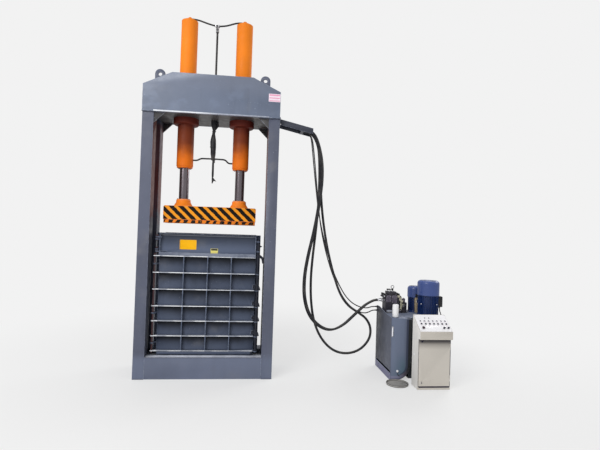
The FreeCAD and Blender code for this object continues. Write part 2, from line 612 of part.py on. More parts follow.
def lower_pipe():
    """The feed line to both rods' ends, bent out of a tee under the head."""
    low = "tube_bottom + 92"
    reach = value("ram_x - tube_r")
    left = bent_tube("lower_pipe_left", [
        (-reach, 0, low), (-reach + 54, 0, low), (-reach + 104, 0, "tube_bottom + 122"),
        (-12, 0, "tube_bottom + 124")], "pipe_r")
    right = bent_tube("lower_pipe_right", [
        (12, 0, "tube_bottom + 124"), (reach - 100, 0, "tube_bottom + 120"),
        (reach - 54, 0, "tube_bottom + 70"), (reach, 0, "tube_bottom + 70")], "pipe_r")
    tee = rod("lower_tee", "-24", "0", "tube_bottom + 124", "pipe_r + 7", "48", "X")
    bundle = turned("lower_bundle", [
        ("0", "tube_bottom + 112"), ("pipe_r + 13", "tube_bottom + 112"),
        ("pipe_r + 23", "tube_bottom + 190"), ("pipe_r + 26", "tube_bottom + 300"),
        ("pipe_r + 23", "tube_bottom + 380"), ("pipe_r + 8", "tube_bottom + 470"),
        ("pipe_r + 8", "head_bottom - 130"), ("pipe_r + 30", "head_bottom - 60"),
        ("pipe_r + 34", "head_bottom - 0.3"), ("pipe_r + 3.3", "head_bottom - 0.3"),
        ("pipe_r + 3.3", "head_bottom - 300.3"), ("0", "head_bottom - 300.3")])
    node("lower_pipe", fuse("lower_pipe", left, right, tee, bundle))
    stem = rod("sensor_stem", "0", "0", "tube_bottom - 160", "13", "160 + 124 - pipe_r - 7 - 0.2")
    body = box("sensor_body", "-12", "-14", "tube_bottom - 220", "22", "28", "72")
    wing = cone("sensor_wing", "20", "0", "tube_bottom - 200", "28", "3", "76")
    node("limit_sensor", fuse("limit_sensor", stem, body, wing))


def hose_arm():
    """A sloping inverted channel on the right of the head, which carries the hoses out."""
    x, length = "frame_w/2", "arm_out"
    top = [(x, "arm_z"), (f"{x} + {length}", "arm_z - arm_drop"),
           (f"{x} + {length}", "arm_z - arm_drop - arm_h"), (x, "arm_z - arm_h")]
    web = plate("arm_solid", top, "arm_y - arm_w/2", "arm_w")
    inside = [(x + " - 1", "arm_z - arm_t"), (f"{x} + {length} + 1", "arm_z - arm_drop - arm_t"),
              (f"{x} + {length} + 1", "arm_z - arm_drop - arm_h - 5"), (x + " - 1", "arm_z - arm_h - 5")]
    hollow = plate("arm_hollow", inside, "arm_y - arm_w/2 + arm_t", "arm_w - 2*arm_t")
    pad = box("arm_pad", x, "arm_y - arm_w/2 - 20", "arm_z - arm_h - 10", "12", "arm_w + 40", "arm_h + 30")
    end = f"{x} + {length} - comb_in"
    comb = box("arm_comb", f"{end} - comb_t", "arm_y - arm_w/2 + arm_t/2",
               "arm_z - arm_h - arm_drop*0.7", "comb_t", "arm_w - arm_t",
               "arm_h - 8")
    node("hose_arm", fuse("hose_arm", cut("arm_channel", web, hollow), pad, comb))


# ---------------------------------------------------------------- reservoir

def tank():
    """The oil reservoir: a nose whose lower right edge is rounded stands before the main box.
    The walls run on down past the tank's bottom to the floor, with a slit in the left one."""
    x, nose = "tank_x", "tank_nose"

    def on_front(edge, inset, foremost):
        """Whether an edge bounds the nose's front face at its right, at its bottom or between."""
        middle = edge.BoundBox.Center
        right_of_left = middle.x > value(f"{x} + {inset}") + 1
        under_top = middle.z < value(f"tank_h + {inset}") - 1
        return edge.BoundBox.YMax < foremost + 0.01 and right_of_left and under_top

    def trough(name, inset, front, back):
        """The nose as a long block. Its lower right edge is rounded off, then its front's outline."""
        low, left, right = inset, f"{x} + {inset}", f"{x} + {nose} - {inset}"
        body = plate(name, [(left, low), (right, low), (right, f"tank_h + {inset}"),
                            (left, f"tank_h + {inset}")], front, f"{back} - ({front})")
        doc.recompute()
        block = body.Tip
        for i, edge in enumerate(block.Shape.Edges):
            middle = edge.BoundBox.Center
            if abs(middle.x - value(right)) < 0.01 and abs(middle.z - value(low)) < 0.01:
                fillet = body.newObject("PartDesign::Fillet", name + "_round")
                fillet.Base = (block, [f"Edge{i + 1}"])
                bind(fillet, Radius=f"tank_round - {inset}")
        doc.recompute()
        foremost = min(edge.BoundBox.Center.y for edge in fillet.Shape.Edges)
        rounded = [f"Edge{i + 1}" for i, edge in enumerate(fillet.Shape.Edges)
                   if on_front(edge, inset, foremost)]
        soft = body.newObject("PartDesign::Fillet", name + "_edge")
        soft.Base = (fillet, rounded)
        bind(soft, Radius=f"tank_edge - {inset}")
        body.Tip = soft
        return body

    nose_out = trough("nose_out", "0", "tank_front", "tank_back")
    nose_in = trough("nose_in", "tank_wall", "tank_front + tank_wall", "tank_back - tank_wall")
    step = "tank_front + tank_step"
    main_out = box("main_out", f"{x} + {nose} - tank_wall", step, "0", f"tank_w - {nose} + tank_wall",
                   f"tank_back - ({step})", "tank_h")
    main_in = box("main_in", f"{x} + {nose}/2", f"{step} + tank_wall", "tank_wall",
                  f"tank_w - {nose}/2 - tank_wall", f"tank_back - ({step}) - 2*tank_wall", "tank_h")
    slit = box("tank_slit", f"{x} - 1", "tank_front + 20", "slot_low", "tank_wall + 2",
               "tank_back - tank_front - 70", "slot_h")
    outer = fuse("tank_outer", nose_out, main_out)
    shell = cut("tank_shell", outer, nose_in, main_in, slit)
    bottom = doc.addObject("Part::MultiCommon", "tank_bottom")
    sheet_metal = box("tank_floor_sheet", f"{x} + tank_wall/2", "tank_front + tank_wall/2", "tank_floor",
                      "tank_w - tank_wall", "tank_back - tank_front - tank_wall", "tank_wall")
    bottom.Shapes = [outer, sheet_metal]
    side = plate("tank_side_rim", [
        ("tank_front", "tank_h"), ("tank_back", "tank_h"), ("tank_back", "tank_h + rim_rise*0.9"),
        ("tank_back - 130", "tank_h + rim_rise"), ("tank_back - 215", "tank_h + rim_rise*0.88"),
        ("tank_back - 375", "tank_h + rim_rise*0.58"), ("tank_back - 525", "tank_h + rim_rise*0.37"),
        ("tank_front", "tank_h + rim_front")], x, "tank_wall", "YZ_Plane")
    front = plate("tank_front_rim", [
        (x, "tank_h"), (f"{x} + {nose} - tank_edge", "tank_h"),
        (f"{x} + {nose} - tank_edge", "tank_h + 4"),
        (f"{x} + {nose} - tank_edge - 60", "tank_h + 8"), (x, "tank_h + rim_front")],
        "tank_front", "tank_wall")
    node("tank", fuse("tank", shell, bottom, side, front))


def tank_top():
    """The lid that the motors and valves stand on, and the small fittings of the reservoir."""
    corner_x, corner_y = "tank_x + tank_nose - tank_edge", "tank_front + tank_edge"
    diagonal = "(tank_edge - tank_wall)/sqrt(2)"
    lid = plate("tank_lid", [
        ("tank_x + tank_wall", "tank_front + tank_wall"),
        (corner_x, "tank_front + tank_wall"),
        (f"{corner_x} + {diagonal}", f"{corner_y} - {diagonal}"),
        ("tank_x + tank_nose - tank_wall", corner_y),
        ("tank_x + tank_nose - tank_wall", "tank_front + tank_step - lid_over"),
        ("tank_x + tank_w + lid_over", "tank_front + tank_step - lid_over"),
        ("tank_x + tank_w + lid_over", "tank_back + lid_over"),
        ("tank_x + tank_wall", "tank_back + lid_over")], "tank_h", "lid_t", "XY_Plane")
    node("tank_lid", lid)
    gauge = box("level_gauge", "tank_x + 8", "tank_front - 13", "tank_h - 235", "16", "13", "138")
    drain = rod("drain_plug", "tank_x + 96", "tank_front - 16", "slot_low + slot_h + 3", "13", "16", "Y")
    neck = rod("filler_neck", "tank_x + 340", "tank_back - 90", "tank_h + lid_t", "32", "40")
    cap = rod("filler_cap", "tank_x + 340", "tank_back - 90", "tank_h + lid_t + 40", "42", "46")
    glands = [rod(f"cable_gland_{i}", "tank_x - gland_x", "cable_end_y", f"cable_end_z - {i}*cable_pitch",
                  "cable_r + 5", "gland_x", "X") for i in range(2)]
    node("tank_fittings", group("tank_fittings", gauge, drain, fuse("filler", neck, cap), *glands))


def drip_tray():
    """A shallow round dish that stands on the floor, its rim close to the nose's rounded edge."""
    inside = "tray_r - tray_wall"
    node("drip_tray", turned("drip_tray", [
        ("0", "0"), ("tray_r - tray_wall", "0"), ("tray_r", "tray_wall"), ("tray_r", "tray_h"),
        (inside, "tray_h"), (inside, "tray_wall"), ("0", "tray_wall")],
        "tray_x", "tank_front + edge_in - seat_gap - tray_r"))


# ---------------------------------------------------------------- motors

def motor(label, x, y, radius, body_h, cowl_h):
    """A flange motor standing on its shaft end: a finned barrel, then the fan cowl on top."""
    z = "tank_h + lid_t"
    core = f"({radius} - 26)"
    barrel = doc.addObject("PartDesign::Body", f"{label}_barrel")
    section = outline(barrel, f"{label}_section", [
        ("0", "0"), (f"{radius} - 4", "0"), (f"{radius} - 4", "motor_foot"), (core, "motor_foot + 14"),
        (core, f"{body_h} - 22"), (f"{radius} - cowl_wall - cowl_fit", f"{body_h} - 14"),
        (f"{radius} - cowl_wall - cowl_fit", body_h), ("0", body_h)])
    spin = barrel.newObject("PartDesign::Revolution", f"{label}_spin")
    spin.Profile = section
    spin.ReferenceAxis = (section, ["V_Axis"])
    spin.Angle = 360
    fin_sketch = outline(barrel, f"{label}_fin_outline", [
        (f"{core} - 6", "motor_foot + 4"), (f"{radius} - 9", "motor_foot + 4"),
        (f"{radius} - 9", f"{body_h} - 16"), (f"{core} - 6", f"{body_h} - 16")])
    fin = barrel.newObject("PartDesign::Pad", f"{label}_fin")
    fin.Profile = fin_sketch
    fin.Midplane = True
    bind(fin, Length="fin_t")
    fins = barrel.newObject("PartDesign::PolarPattern", f"{label}_fins")
    fins.Originals = [fin]
    fins.Axis = (origin_part(barrel, "Z_Axis"), [""])
    fins.Angle = 360
    bind(fins, Occurrences="fin_count")
    barrel.Tip = fins
    place(barrel, x, y, z)
    terminal = box(f"{label}_terminal_box", f"{x} + {radius} - 34", f"{y} - 55",
                   f"{z} + {body_h}*0.44", "72", "110", f"{body_h}*0.47")
    node(label, fuse(label, barrel, terminal))
    top = f"({body_h} + 0.3 + {cowl_h})"
    cowl = turned(f"{label}_cowl", [
        (f"{radius} - cowl_wall", f"{body_h} - 6"), (radius, f"{body_h} - 6"), (radius, f"{top} - 34"),
        (f"{radius} - 7", f"{top} - 14"), (f"{radius} - 26", top), ("0", top),
        ("0", f"{top} - cowl_wall"), (f"{radius} - 28", f"{top} - cowl_wall"),
        (f"{radius} - 10", f"{top} - 17"), (f"{radius} - cowl_wall", f"{top} - 35")], x, y, z)
    node(f"{label}_cowl", cowl)


# ---------------------------------------------------------------- valve block

def valve_block():
    """A manifold on two feet with a stack of solenoid valves, its hand valve and a second,
    lower block beside it that the pumps deliver to."""
    z = "tank_h + lid_t"
    low_x, low_y = "block_x - block_w/2", "block_y - block_d/2"
    feet = [box(f"block_foot_{i}", f"{low_x} + {i}*(block_w - foot_w)", low_y, z, "foot_w", "block_d",
                "block_foot") for i in range(2)]
    block = box("block_body", low_x, low_y, f"{z} + block_foot", "block_w", "block_d",
                "block_h - block_foot")
    stack = []
    top = f"{z} + block_h"
    for i in range(int(value("valve_count"))):
        y = f"{low_y} + 4 + {i}*48"
        stack.append(box(f"valve_body_{i}", f"{low_x} + coil_l", y, top, "block_w - 2*coil_l", "42",
                         "valve_h"))
        stack.append(box(f"valve_coil_{i}", f"{low_x} + 2", y, f"{top} + 4", "coil_l", "40", "valve_h - 8"))
        stack.append(box(f"valve_coil_far_{i}", f"{low_x} + block_w - coil_l - 2", y, f"{top} + 4",
                         "coil_l", "40", "valve_h - 8"))
    cap_z = f"{top} + valve_h"
    cap = box("block_cap", f"{low_x} + 34", f"{low_y} + 10", cap_z, "block_w - 44", "block_d - 20",
              "stack_cap")
    relief = rod("relief_valve", "block_x + 30", f"{low_y} - 46", f"{z} + block_foot + 90", "15", "46", "Y")
    ports = [rod(f"hose_port_{i}", f"{low_x} - port_l", f"block_y - {1 - i}*port_pitch", f"{z} + port_up",
                 "port_r", "port_l", "X") for i in range(2)]
    at_x, at_z = "block_x + spindle_x", f"{cap_z} + stack_cap"
    spindle = rod("hand_valve_spindle", at_x, "block_y", at_z, "spindle_r", "spindle_h")
    ring = doc.addObject("Part::Torus", "hand_valve_ring")
    bind(ring, Radius1="ring_r", Radius2="ring_wire")
    place(ring, at_x, "block_y", f"{at_z} + spindle_h + ring_r", (1, 0, 0), "90")
    side_x = "block_x + block_w/2 + 12"
    side = box("side_block", side_x, "block_y - 30", z, "side_block_w", "100", "side_block_h")
    neck = rod("side_block_pipe", "block_x + block_w/2", "block_y + 20", f"{z} + 100", "17", "12", "X")
    coils = [rod(f"side_coil_{i}", f"{side_x} + 34 + {i}*52", "block_y - 30 - side_coil_l",
                 f"{z} + 42 + {i}*66", "side_coil_r", "side_coil_l", "Y") for i in range(2)]
    node("valve_block", fuse("valve_block", *feet, block, *stack, cap, relief, *ports, spindle, ring,
                             side, neck, *coils))
    hub = rod("lever_hub", at_x, "block_y", f"{at_z} + hub_up", "hub_r", "hub_h")
    arm = box("lever_arm", f"{at_x} - lever_l", "block_y - lever_w/2", f"{at_z} + hub_up + 4",
              "lever_l", "lever_w", "lever_h")
    bore = rod("lever_bore", at_x, "block_y", at_z, "spindle_r + run_gap", "spindle_h")
    node("valve_lever", cut("valve_lever", fuse("lever_solid", hub, arm), bore))
    canister = turned("return_filter", [
        ("0", "0"), ("filter_r*0.6", "0"), ("filter_r*0.6", "14"), ("filter_r - 4", "18"),
        ("filter_r", "24"), ("filter_r", "filter_h - 10"), ("filter_r - 9", "filter_h"),
        ("0", "filter_h")], "filter_x", "filter_y", z)
    node("return_filter", canister)


# ---------------------------------------------------------------- control desk

DESK_RUN = "(desk_back - desk_front + lip_out)"
DESK_RISE = f"({DESK_RUN}*tan(desk_slope))"
LIP_TOP = "(lip_low + lip_h)"
SLOPE_LENGTH = f"({DESK_RUN}/cos(desk_slope))"


def desk_profile(inset):
    """The desk's side view from its lower front corner, in Y and Z."""
    front, back = f"desk_front + {inset}", f"desk_back - {inset}"
    nose = f"desk_front - lip_out + {inset}"
    drop = f"{inset}/cos(desk_slope)"
    return [(front, inset), (back, inset), (back, f"{LIP_TOP} + {DESK_RISE} - {drop} - {inset}*0.6"),
            (nose, f"{LIP_TOP} - {drop} + {inset}*0.6"), (nose, f"lip_low + {inset}"),
            (front, f"lip_low + {inset}")]


def control_desk():
    """A folded cabinet with a sloped panel, a front door and the gear on its back plate."""
    outer = plate("desk_outer", desk_profile("0"), "desk_x", "desk_w", "YZ_Plane")
    inner = plate("desk_inner", desk_profile("desk_sheet"), "desk_x + desk_sheet",
                  "desk_w - 2*desk_sheet", "YZ_Plane")
    doorway = box("desk_doorway", "desk_x + 26", "desk_front - 1", "plinth + 14", "desk_w - 52",
                  "desk_sheet + 2", "lip_low - plinth - 44")
    window = box("panel_window", "0", "0", "0", "desk_w - 48", f"{SLOPE_LENGTH} - 60", "40")
    on_slope(window, "24", "24", "-20")
    shell = cut("desk_shell", outer, inner, doorway, window)
    gear_plate = box("gear_plate", "desk_x + 40", "desk_back - desk_sheet - 14", "120",
                     "desk_w - 80", "14", "480")
    rails = [box(f"gear_row_{i}", "desk_x + 60", "desk_back - desk_sheet - 74", f"170 + {i}*150",
                 "desk_w - 120", "60", "80") for i in range(3)]
    pin_x, pin_y = "desk_x + desk_w - 10", "desk_front - leaf_gap - barrel_r"
    notches = []
    knuckles = []
    barrels = []
    for i, z in enumerate(("plinth + 60", "lip_low - 140")):
        barrels.append(rod(f"door_barrel_{i}", pin_x, pin_y, z, "barrel_r", "barrel_h"))
        above = f"{z} + barrel_h + leaf_gap"
        knuckles.append(rod(f"desk_barrel_{i}", pin_x, pin_y, above, "barrel_r", "barrel_h"))
        knuckles.append(box(f"desk_hinge_{i}", pin_x, f"{pin_y} - barrel_r/2", above,
                            "8", "leaf_gap + 1.5*barrel_r + 1", "barrel_h"))
        notches.append(box(f"door_notch_{i}", f"{pin_x} - 2*barrel_r", f"{pin_y} - 2*barrel_r",
                           f"{above} - leaf_gap", "4*barrel_r", "4*barrel_r", "barrel_h + 2*leaf_gap"))
    node("desk_cabinet", fuse("desk_cabinet", shell, gear_plate, *rails, *knuckles))
    leaf = box("door_leaf", "desk_x + 10", "desk_front - leaf_t - leaf_gap", "plinth", "desk_w - 20",
               "leaf_t", "lip_low - plinth - 16")
    lock = rod("door_lock", "desk_x + 48", "desk_front - 12.3", "plinth + 46", "10", "9", "Y")
    fold = box("door_fold", "desk_x + 34", "desk_front - leaf_gap", "plinth + 24", "4", "14",
               "lip_low - plinth - 64")
    node("desk_door", fuse("desk_door", cut("door_sheet", leaf, *notches), *barrels, lock, fold))


def on_slope(piece, across="0", up="0", proud="0"):
    """Sets a piece on the sloped panel: across it, up it and proud of it."""
    return place(piece, f"desk_x + ({across})",
                 f"desk_front - lip_out + ({up})*cos(desk_slope) - ({proud})*sin(desk_slope)",
                 f"{LIP_TOP} + ({up})*sin(desk_slope) + ({proud})*cos(desk_slope)",
                 (1, 0, 0), "desk_slope")


def knob(name, across, up, low, radius, height):
    piece = doc.addObject("Part::Cylinder", name)
    bind(piece, Radius=radius, Height=height)
    return on_slope(piece, across, up, low)


def control_panel():
    """The white panel with its lamps, seven push buttons, a stop button and two selectors."""
    keys = [f"key_first + {i}*key_pitch*0.96" for i in range(7)]
    sheet_metal = doc.addObject("Part::Box", "panel_sheet")
    bind(sheet_metal, Length="desk_w - 2*panel_in", Width=f"{SLOPE_LENGTH} - 14", Height="panel_t")
    on_slope(sheet_metal, "panel_in", "6", "0.1")
    holes = []
    spots = [(x, "row_key") for x in keys]
    spots += [(keys[0], "row_knob"), (keys[5], "row_knob"), (keys[6], "row_knob")]
    for i, (x, up) in enumerate(spots):
        holes.append(knob(f"panel_hole_{i}", x, up, "-6", "button_r + pin_gap", "20"))
    node("control_panel", cut("control_panel", sheet_metal, *holes))
    rings = []
    for i, (x, up) in enumerate(spots):
        ring = knob(f"bezel_{i}", x, up, "panel_t + 0.1", "bezel_r", "bezel_h")
        rings.append(cut(f"bezel_ring_{i}", ring,
                         knob(f"bezel_bore_{i}", x, up, "panel_t - 1", "button_r + pin_gap", "bezel_h + 4")))
    node("button_bezels", group("button_bezels", *rings))
    lamps = [knob(f"lamp_{i}", x, "row_lamp", "panel_t + 0.1", "button_r", "8")
             for i, x in enumerate(keys)]
    lamps += [knob(f"small_lamp_{i}", f"{keys[1 + i]} + 20", "row_top", "panel_t + 0.1", "7", "6")
              for i in range(2)]
    node("indicator_lamps", group("indicator_lamps", *lamps))
    full = "button_up + panel_t + 0.1 + button_down"
    for i in range(7):
        node(f"push_button_{i + 1}", knob(f"push_button_{i + 1}", *spots[i], "-button_down",
                                          "button_r", full))
    stem = knob("stop_stem", *spots[7], "-button_down", "button_r", full)
    mushroom = knob("stop_head", *spots[7], "button_up + panel_t + 0.1", "stop_r", "10")
    node("stop_button", fuse("stop_button", stem, mushroom))
    for i in (0, 1):
        stem = knob(f"selector_stem_{i}", *spots[8 + i], "-button_down", "button_r", full)
        grip = doc.addObject("Part::Box", f"selector_grip_{i}")
        bind(grip, Length="2*knob_r", Width="9", Height="14")
        x, up = spots[8 + i]
        on_slope(grip, f"{x} - knob_r", f"{up} - 4.5", "button_up + panel_t")
        node(f"selector_{i + 1}", fuse(f"selector_{i + 1}", stem, grip))


# ---------------------------------------------------------------- hoses and cables

PRESSURE_ROUTE = [
    (1240, 3386), (1298, 3386), (1352, 3366), (1397, 3326), (1431, 3268), (1461, 3190),
    (1491, 3085), (1515, 2960), (1526, 2820), (1524, 2650), (1505, 2455), (1478, 2230),
    (1430, 1955), (1365, 1665), (1320, 1365), (1325, 1080), (1400, 835), (1550, 680),
    (1715, 625), (1885, 700), (2035, 845)]

LOOP_ROUTE = [
    (1240, -148, 3386), (1300, -148, 3386), (1355, -148, 3366), (1402, -148, 3325),
    (1437, -148, 3266), (1459, -148, 3180), (1475, -148, 3065), (1486, -148, 2910),
    (1492, -148, 2720), (1490, -148, 2480), (1480, -148, 2210), (1458, -148, 1935),
    (1430, -148, 1640), (1412, -148, 1345), (1420, -148, 1050), (1465, -148, 755),
    (1570, -148, 510), (1740, -145, 335), (1940, -141, 280), (2140, -136, 330),
    (2280, -130, 480), (2300, -124, 640), (2235, -118, 775), (2110, -112, 860),
    (1955, -108, 955), (1835, -108, 1125), (1745, -108, 1375), (1672, -108, 1625),
    (1615, -108, 1870), (1567, -108, 2145), (1534, -108, 2415), (1516, -108, 2680),
    (1503, -108, 2890), (1487, -108, 3055), (1466, -108, 3172), (1436, -108, 3260),
    (1400, -108, 3321), (1354, -108, 3363), (1300, -108, 3384), (1240, -108, 3384)]

MOTOR_CABLE_ROUTE = [
    (1240, -80, 3390), (1285, -80, 3390), (1324, -80, 3372), (1351, -80, 3338),
    (1367, -80, 3292), (1376, -80, 3238), (1384, -80, 3175), (1394, -80, 3100),
    (1405, -80, 3005), (1420, -80, 2885), (1438, -80, 2740), (1460, -80, 2570),
    (1487, -80, 2370), (1522, -80, 2175), (1568, -80, 1970), (1622, -80, 1770),
    (1685, -76, 1574), (1753, -66, 1402), (1841, -40, 1229), (1946, 15, 1070),
    (2068, 85, 957), (2213, 170, 886), (2335, 235, 865)]

SENSOR_CABLE_ROUTE = [
    (1240, -61, 3390), (1288, -61, 3390), (1331, -61, 3372), (1363, -61, 3338),
    (1384, -61, 3292), (1396, -61, 3236), (1406, -61, 3170), (1417, -61, 3090),
    (1429, -61, 2990), (1443, -61, 2870), (1460, -61, 2720), (1479, -61, 2540),
    (1506, -61, 2330), (1532, -61, 2130), (1567, -61, 1945), (1613, -61, 1757),
    (1669, -56, 1570), (1735, -48, 1388), (1810, -25, 1224), (1900, 10, 1068),
    (2006, 60, 940), (2129, 125, 846), (2271, 193, 795), (2360, 240, 803)]

MOTOR_LEAD_ROUTE = [
    (3300, -170, 872), (3306, -212, 822), (3300, -268, 781), (3278, -328, 749), (3242, -384, 725),
    (3198, -434, 708), (3160, -477, 696)]


def between(route, start, end):
    """The route with its two ends set on the pieces that hold them, and the rest moved in step."""
    first, last = Vector(*route[0]), Vector(*route[-1])
    share = [i / (len(route) - 1) for i in range(len(route))]
    return [tuple(Vector(*point) + (Vector(*start) - first) * (1 - part) + (Vector(*end) - last) * part)
            for point, part in zip(route, share)]


def hoses():
    """The lines that hang free between the hose arm and the power pack."""
    port_x = value("block_x - block_w/2 - port_l")
    port_z = value("tank_h + lid_t + port_up")
    start_x, top = value("frame_w/2 + arm_out - comb_in"), value("arm_z - 3508")
    for name, hung, port_y, last in (
            ("pressure_hose_a", -222, "block_y - port_pitch", [(2204, -125, 966), (2300, -50, 1000)]),
            ("pressure_hose_b", -186, "block_y", [(2190, -90, 952), (2288, -12, 988)])):
        aside = 0 if name == "pressure_hose_a" else 14
        shifts = [min(aside, 4 * max(0, i - 1)) for i in range(len(PRESSURE_ROUTE))]
        route = [(x - shift, hung, z - shift) for (x, z), shift in zip(PRESSURE_ROUTE, shifts)]
        y = value(port_y)
        route = between(route + last + [(2394, y, 1024)], (start_x, hung, top + 3386),
                        (port_x - 82, y, port_z))
        node(name, bent_tube(name, route + [(port_x, y, port_z)], "hose_r"))
    loop = between(LOOP_ROUTE, (start_x, -148, top + 3386), (start_x, -108, top + 3384))
    node("slack_hose", bent_tube("slack_hose", loop, "loop_r"))
    gland = value("tank_x - gland_x")
    y, z, pitch = value("cable_end_y"), value("cable_end_z"), value("cable_pitch")
    for name, hung, route, run, low in (("motor_cable", -80, MOTOR_CABLE_ROUTE, 65, 0),
                                        ("sensor_cable", -61, SENSOR_CABLE_ROUTE, 56, pitch)):
        route = between(route + [(2480 - run, y, 884 - low)], (start_x, hung, top + 3390),
                        (gland - run, y, z - low))
        node(name, bent_tube(name, route + [(gland, y, z - low)], "cable_r"))
    lead_x, lead_z = value("m1_x + m1_r + 19"), value("tank_h + lid_t + m1_body*0.44")
    way_in = value("desk_x + desk_w - 36")
    node("motor_lead", bent_tube("motor_lead", [
        (lead_x, value("m1_y"), lead_z), (lead_x, value("m1_y"), lead_z - 48)] + MOTOR_LEAD_ROUTE + [
        (way_in, value("desk_back") + 45, 690), (way_in, value("desk_back"), 690)], "cable_r - 1"))


# ---------------------------------------------------------------- build, check and write

column("left_column", -1)
column("right_column", 1)
base_frame()
head()
lifting_lugs()
rams()
chamber_floor()
side_wall("chamber_left_wall", "-")
side_wall("chamber_right_wall", "")
rear_wall()
main_door()
feed_door()
hinge_pins()
lock_shaft()
feed_latch()
platen()
top_pipe()
lower_pipe()
hose_arm()
tank()
tank_top()
drip_tray()
motor("motor_1", "m1_x", "m1_y", "m1_r", "m1_body", "m1_cowl")
motor("motor_2", "m2_x", "m2_y", "m2_r", "m2_body", "m2_cowl")
valve_block()
control_desk()
control_panel()
hoses()
doc.recompute()

for thing in doc.Objects:
    if "Invalid" in thing.State or "Error" in thing.State:
        raise RuntimeError(f"{thing.Label} did not build: {thing.State}")
for label, piece in NODES.items():
    if piece.Shape.isNull() or not piece.Shape.isValid() or not piece.Shape.Solids:
        raise RuntimeError(f"{label} has no valid solid")

os.makedirs("parts", exist_ok=True)
for label, piece in NODES.items():
    piece.Shape.exportStep(f"parts/{label}.step")
print(f"{len(NODES)} sub-parts written")
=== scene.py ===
"""The looks of an upright recycling baler, its power pack and its control desk.

The file is laid out as an add-on and is run as a script. The packed model is loaded first and
stays as it is. Everything is in metres, in that model's own frame: X to the right, Y to the back,
Z up, with the origin on the floor under the middle of the press. Drawn outlines are in millimetres.
"""
import math

import bmesh
import bpy
from bpy.props import FloatProperty, FloatVectorProperty, IntProperty, PointerProperty
from mathutils import Matrix, Vector


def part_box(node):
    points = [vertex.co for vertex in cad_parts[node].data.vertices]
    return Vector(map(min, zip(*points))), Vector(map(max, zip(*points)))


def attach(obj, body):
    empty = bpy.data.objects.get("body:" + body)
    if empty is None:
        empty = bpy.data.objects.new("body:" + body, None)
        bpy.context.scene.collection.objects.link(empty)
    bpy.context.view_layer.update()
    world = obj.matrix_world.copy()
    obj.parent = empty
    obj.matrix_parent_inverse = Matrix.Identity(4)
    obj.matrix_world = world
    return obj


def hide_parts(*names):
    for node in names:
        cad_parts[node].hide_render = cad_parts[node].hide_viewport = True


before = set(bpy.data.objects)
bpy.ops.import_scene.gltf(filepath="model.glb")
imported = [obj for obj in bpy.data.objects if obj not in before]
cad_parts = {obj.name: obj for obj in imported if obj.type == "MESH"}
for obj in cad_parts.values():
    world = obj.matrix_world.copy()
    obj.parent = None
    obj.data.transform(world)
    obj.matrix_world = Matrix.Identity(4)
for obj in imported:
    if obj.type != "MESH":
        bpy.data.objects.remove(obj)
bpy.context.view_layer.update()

bl_info = {
    "name": "Recycling baler",
    "version": (1, 0, 0),
    "blender": (4, 5, 0),
    "location": "3D View > Sidebar > Baler",
    "description": "Paints and details an upright recycling baler with its power pack and desk",
    "category": "Object",
}

UP, DOWN, FRONT, RIGHT = (0, 0, 1), (0, 0, -1), (0, -1, 0), (1, 0, 0)
MIDST = (0.3, 0.7)                                  # where most values of a noise lie


def extent(node):
    """A CAD node's lowest and highest corner, in millimetres."""
    return [[round(part * 1000, 1) for part in corner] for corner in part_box(node)]


# ---------------------------------------- what a user would change

def display(red, green, blue):
    """A colour as a screen shows it, 0 to 255, in the shader's linear numbers."""
    return tuple(((part / 255 + 0.055) / 1.055) ** 2.4 if part > 10 else part / 3295
                 for part in (red, green, blue))


def paint_of(name, description, *shown):
    return FloatVectorProperty(name=name, description=description, subtype="COLOR", size=3,
                               min=0, max=1, default=display(*shown))


def length_of(name, description, default):
    return FloatProperty(name=name, description=description, default=default, min=0,
                         subtype="DISTANCE", unit="LENGTH")


class BalerPaints(bpy.types.PropertyGroup):
    """The colours of the paints, plastics and rubber"""
    frame_blue: paint_of("Frame", "Enamel of the columns", 83, 88, 106)
    base_blue: paint_of("Base", "Enamel of the beams on the floor", 98, 106, 127)
    head_blue: paint_of("Head", "Enamel of the head's plates", 98, 108, 128)
    chamber_blue: paint_of("Chamber", "Enamel of the doors and chamber walls", 71, 79, 97)
    edge_pale: paint_of("Worn edge", "Where the enamel is rubbed through", 178, 186, 202)
    primer: paint_of("Primer", "Red-brown coat under the enamel", 104, 48, 38)
    ram_orange: paint_of("Ram", "Enamel of the rams and the platen's bosses", 240, 132, 34)
    # The rams' brown and red-brown under the head are mostly painted shade; the brown is partly real
    # overspray.
    ram_shade_and_overspray: paint_of("Ram overspray", "Brown that the rams fade to under the head", 116, 52, 28)
    ram_shade: paint_of("Ram collar", "Red-brown of the collars under the head", 92, 36, 28)
    stripe_yellow: paint_of("Stripe", "Light stripes of the platen's front", 240, 152, 34)
    stripe_black: paint_of("Dark stripe", "Dark stripes of the platen's front", 20, 16, 14)
    plate_yellow: paint_of("Notice plate", "Bare yellow plates on the upper door", 250, 182, 20)
    tank_blue: paint_of("Tank", "Enamel of the reservoir", 94, 103, 124)
    motor_navy: paint_of("Motor", "Enamel of the finned motor barrels", 24, 47, 98)
    cowl_blue: paint_of("Fan cowl", "Enamel of the fan cowls", 64, 82, 138)
    desk_beige: paint_of("Desk", "Powder coat of the control desk", 198, 192, 182)
    panel_white: paint_of("Panel", "Sheet that carries the buttons", 252, 251, 254)
    rubber_black: paint_of("Rubber", "Cover of the hoses and cables", 34, 34, 38)


class BalerSizes(bpy.types.PropertyGroup):
    """The sizes of what the looks add to the model"""
    edge_round: length_of("Edge round", "Width of the rounding on plate edges", 0.0022)
    bead_radius: length_of("Weld bead", "Radius of a fillet weld", 0.0045)
    bead_ripple: length_of("Weld ripple", "Length of one ripple of a weld", 0.011)
    stripe_pitch: length_of("Stripe pitch", "Distance from one dark stripe to the next", 0.128)
    bolt_head: length_of("Bolt head", "Radius of a hexagon head", 0.009)
    slot_length: length_of("Cowl slot", "Length of an air slot in a fan cowl", 0.026)
    strands: IntProperty(name="Bundle strands", description="Cables in the bundle under the head",
                         default=7, min=3, max=12)


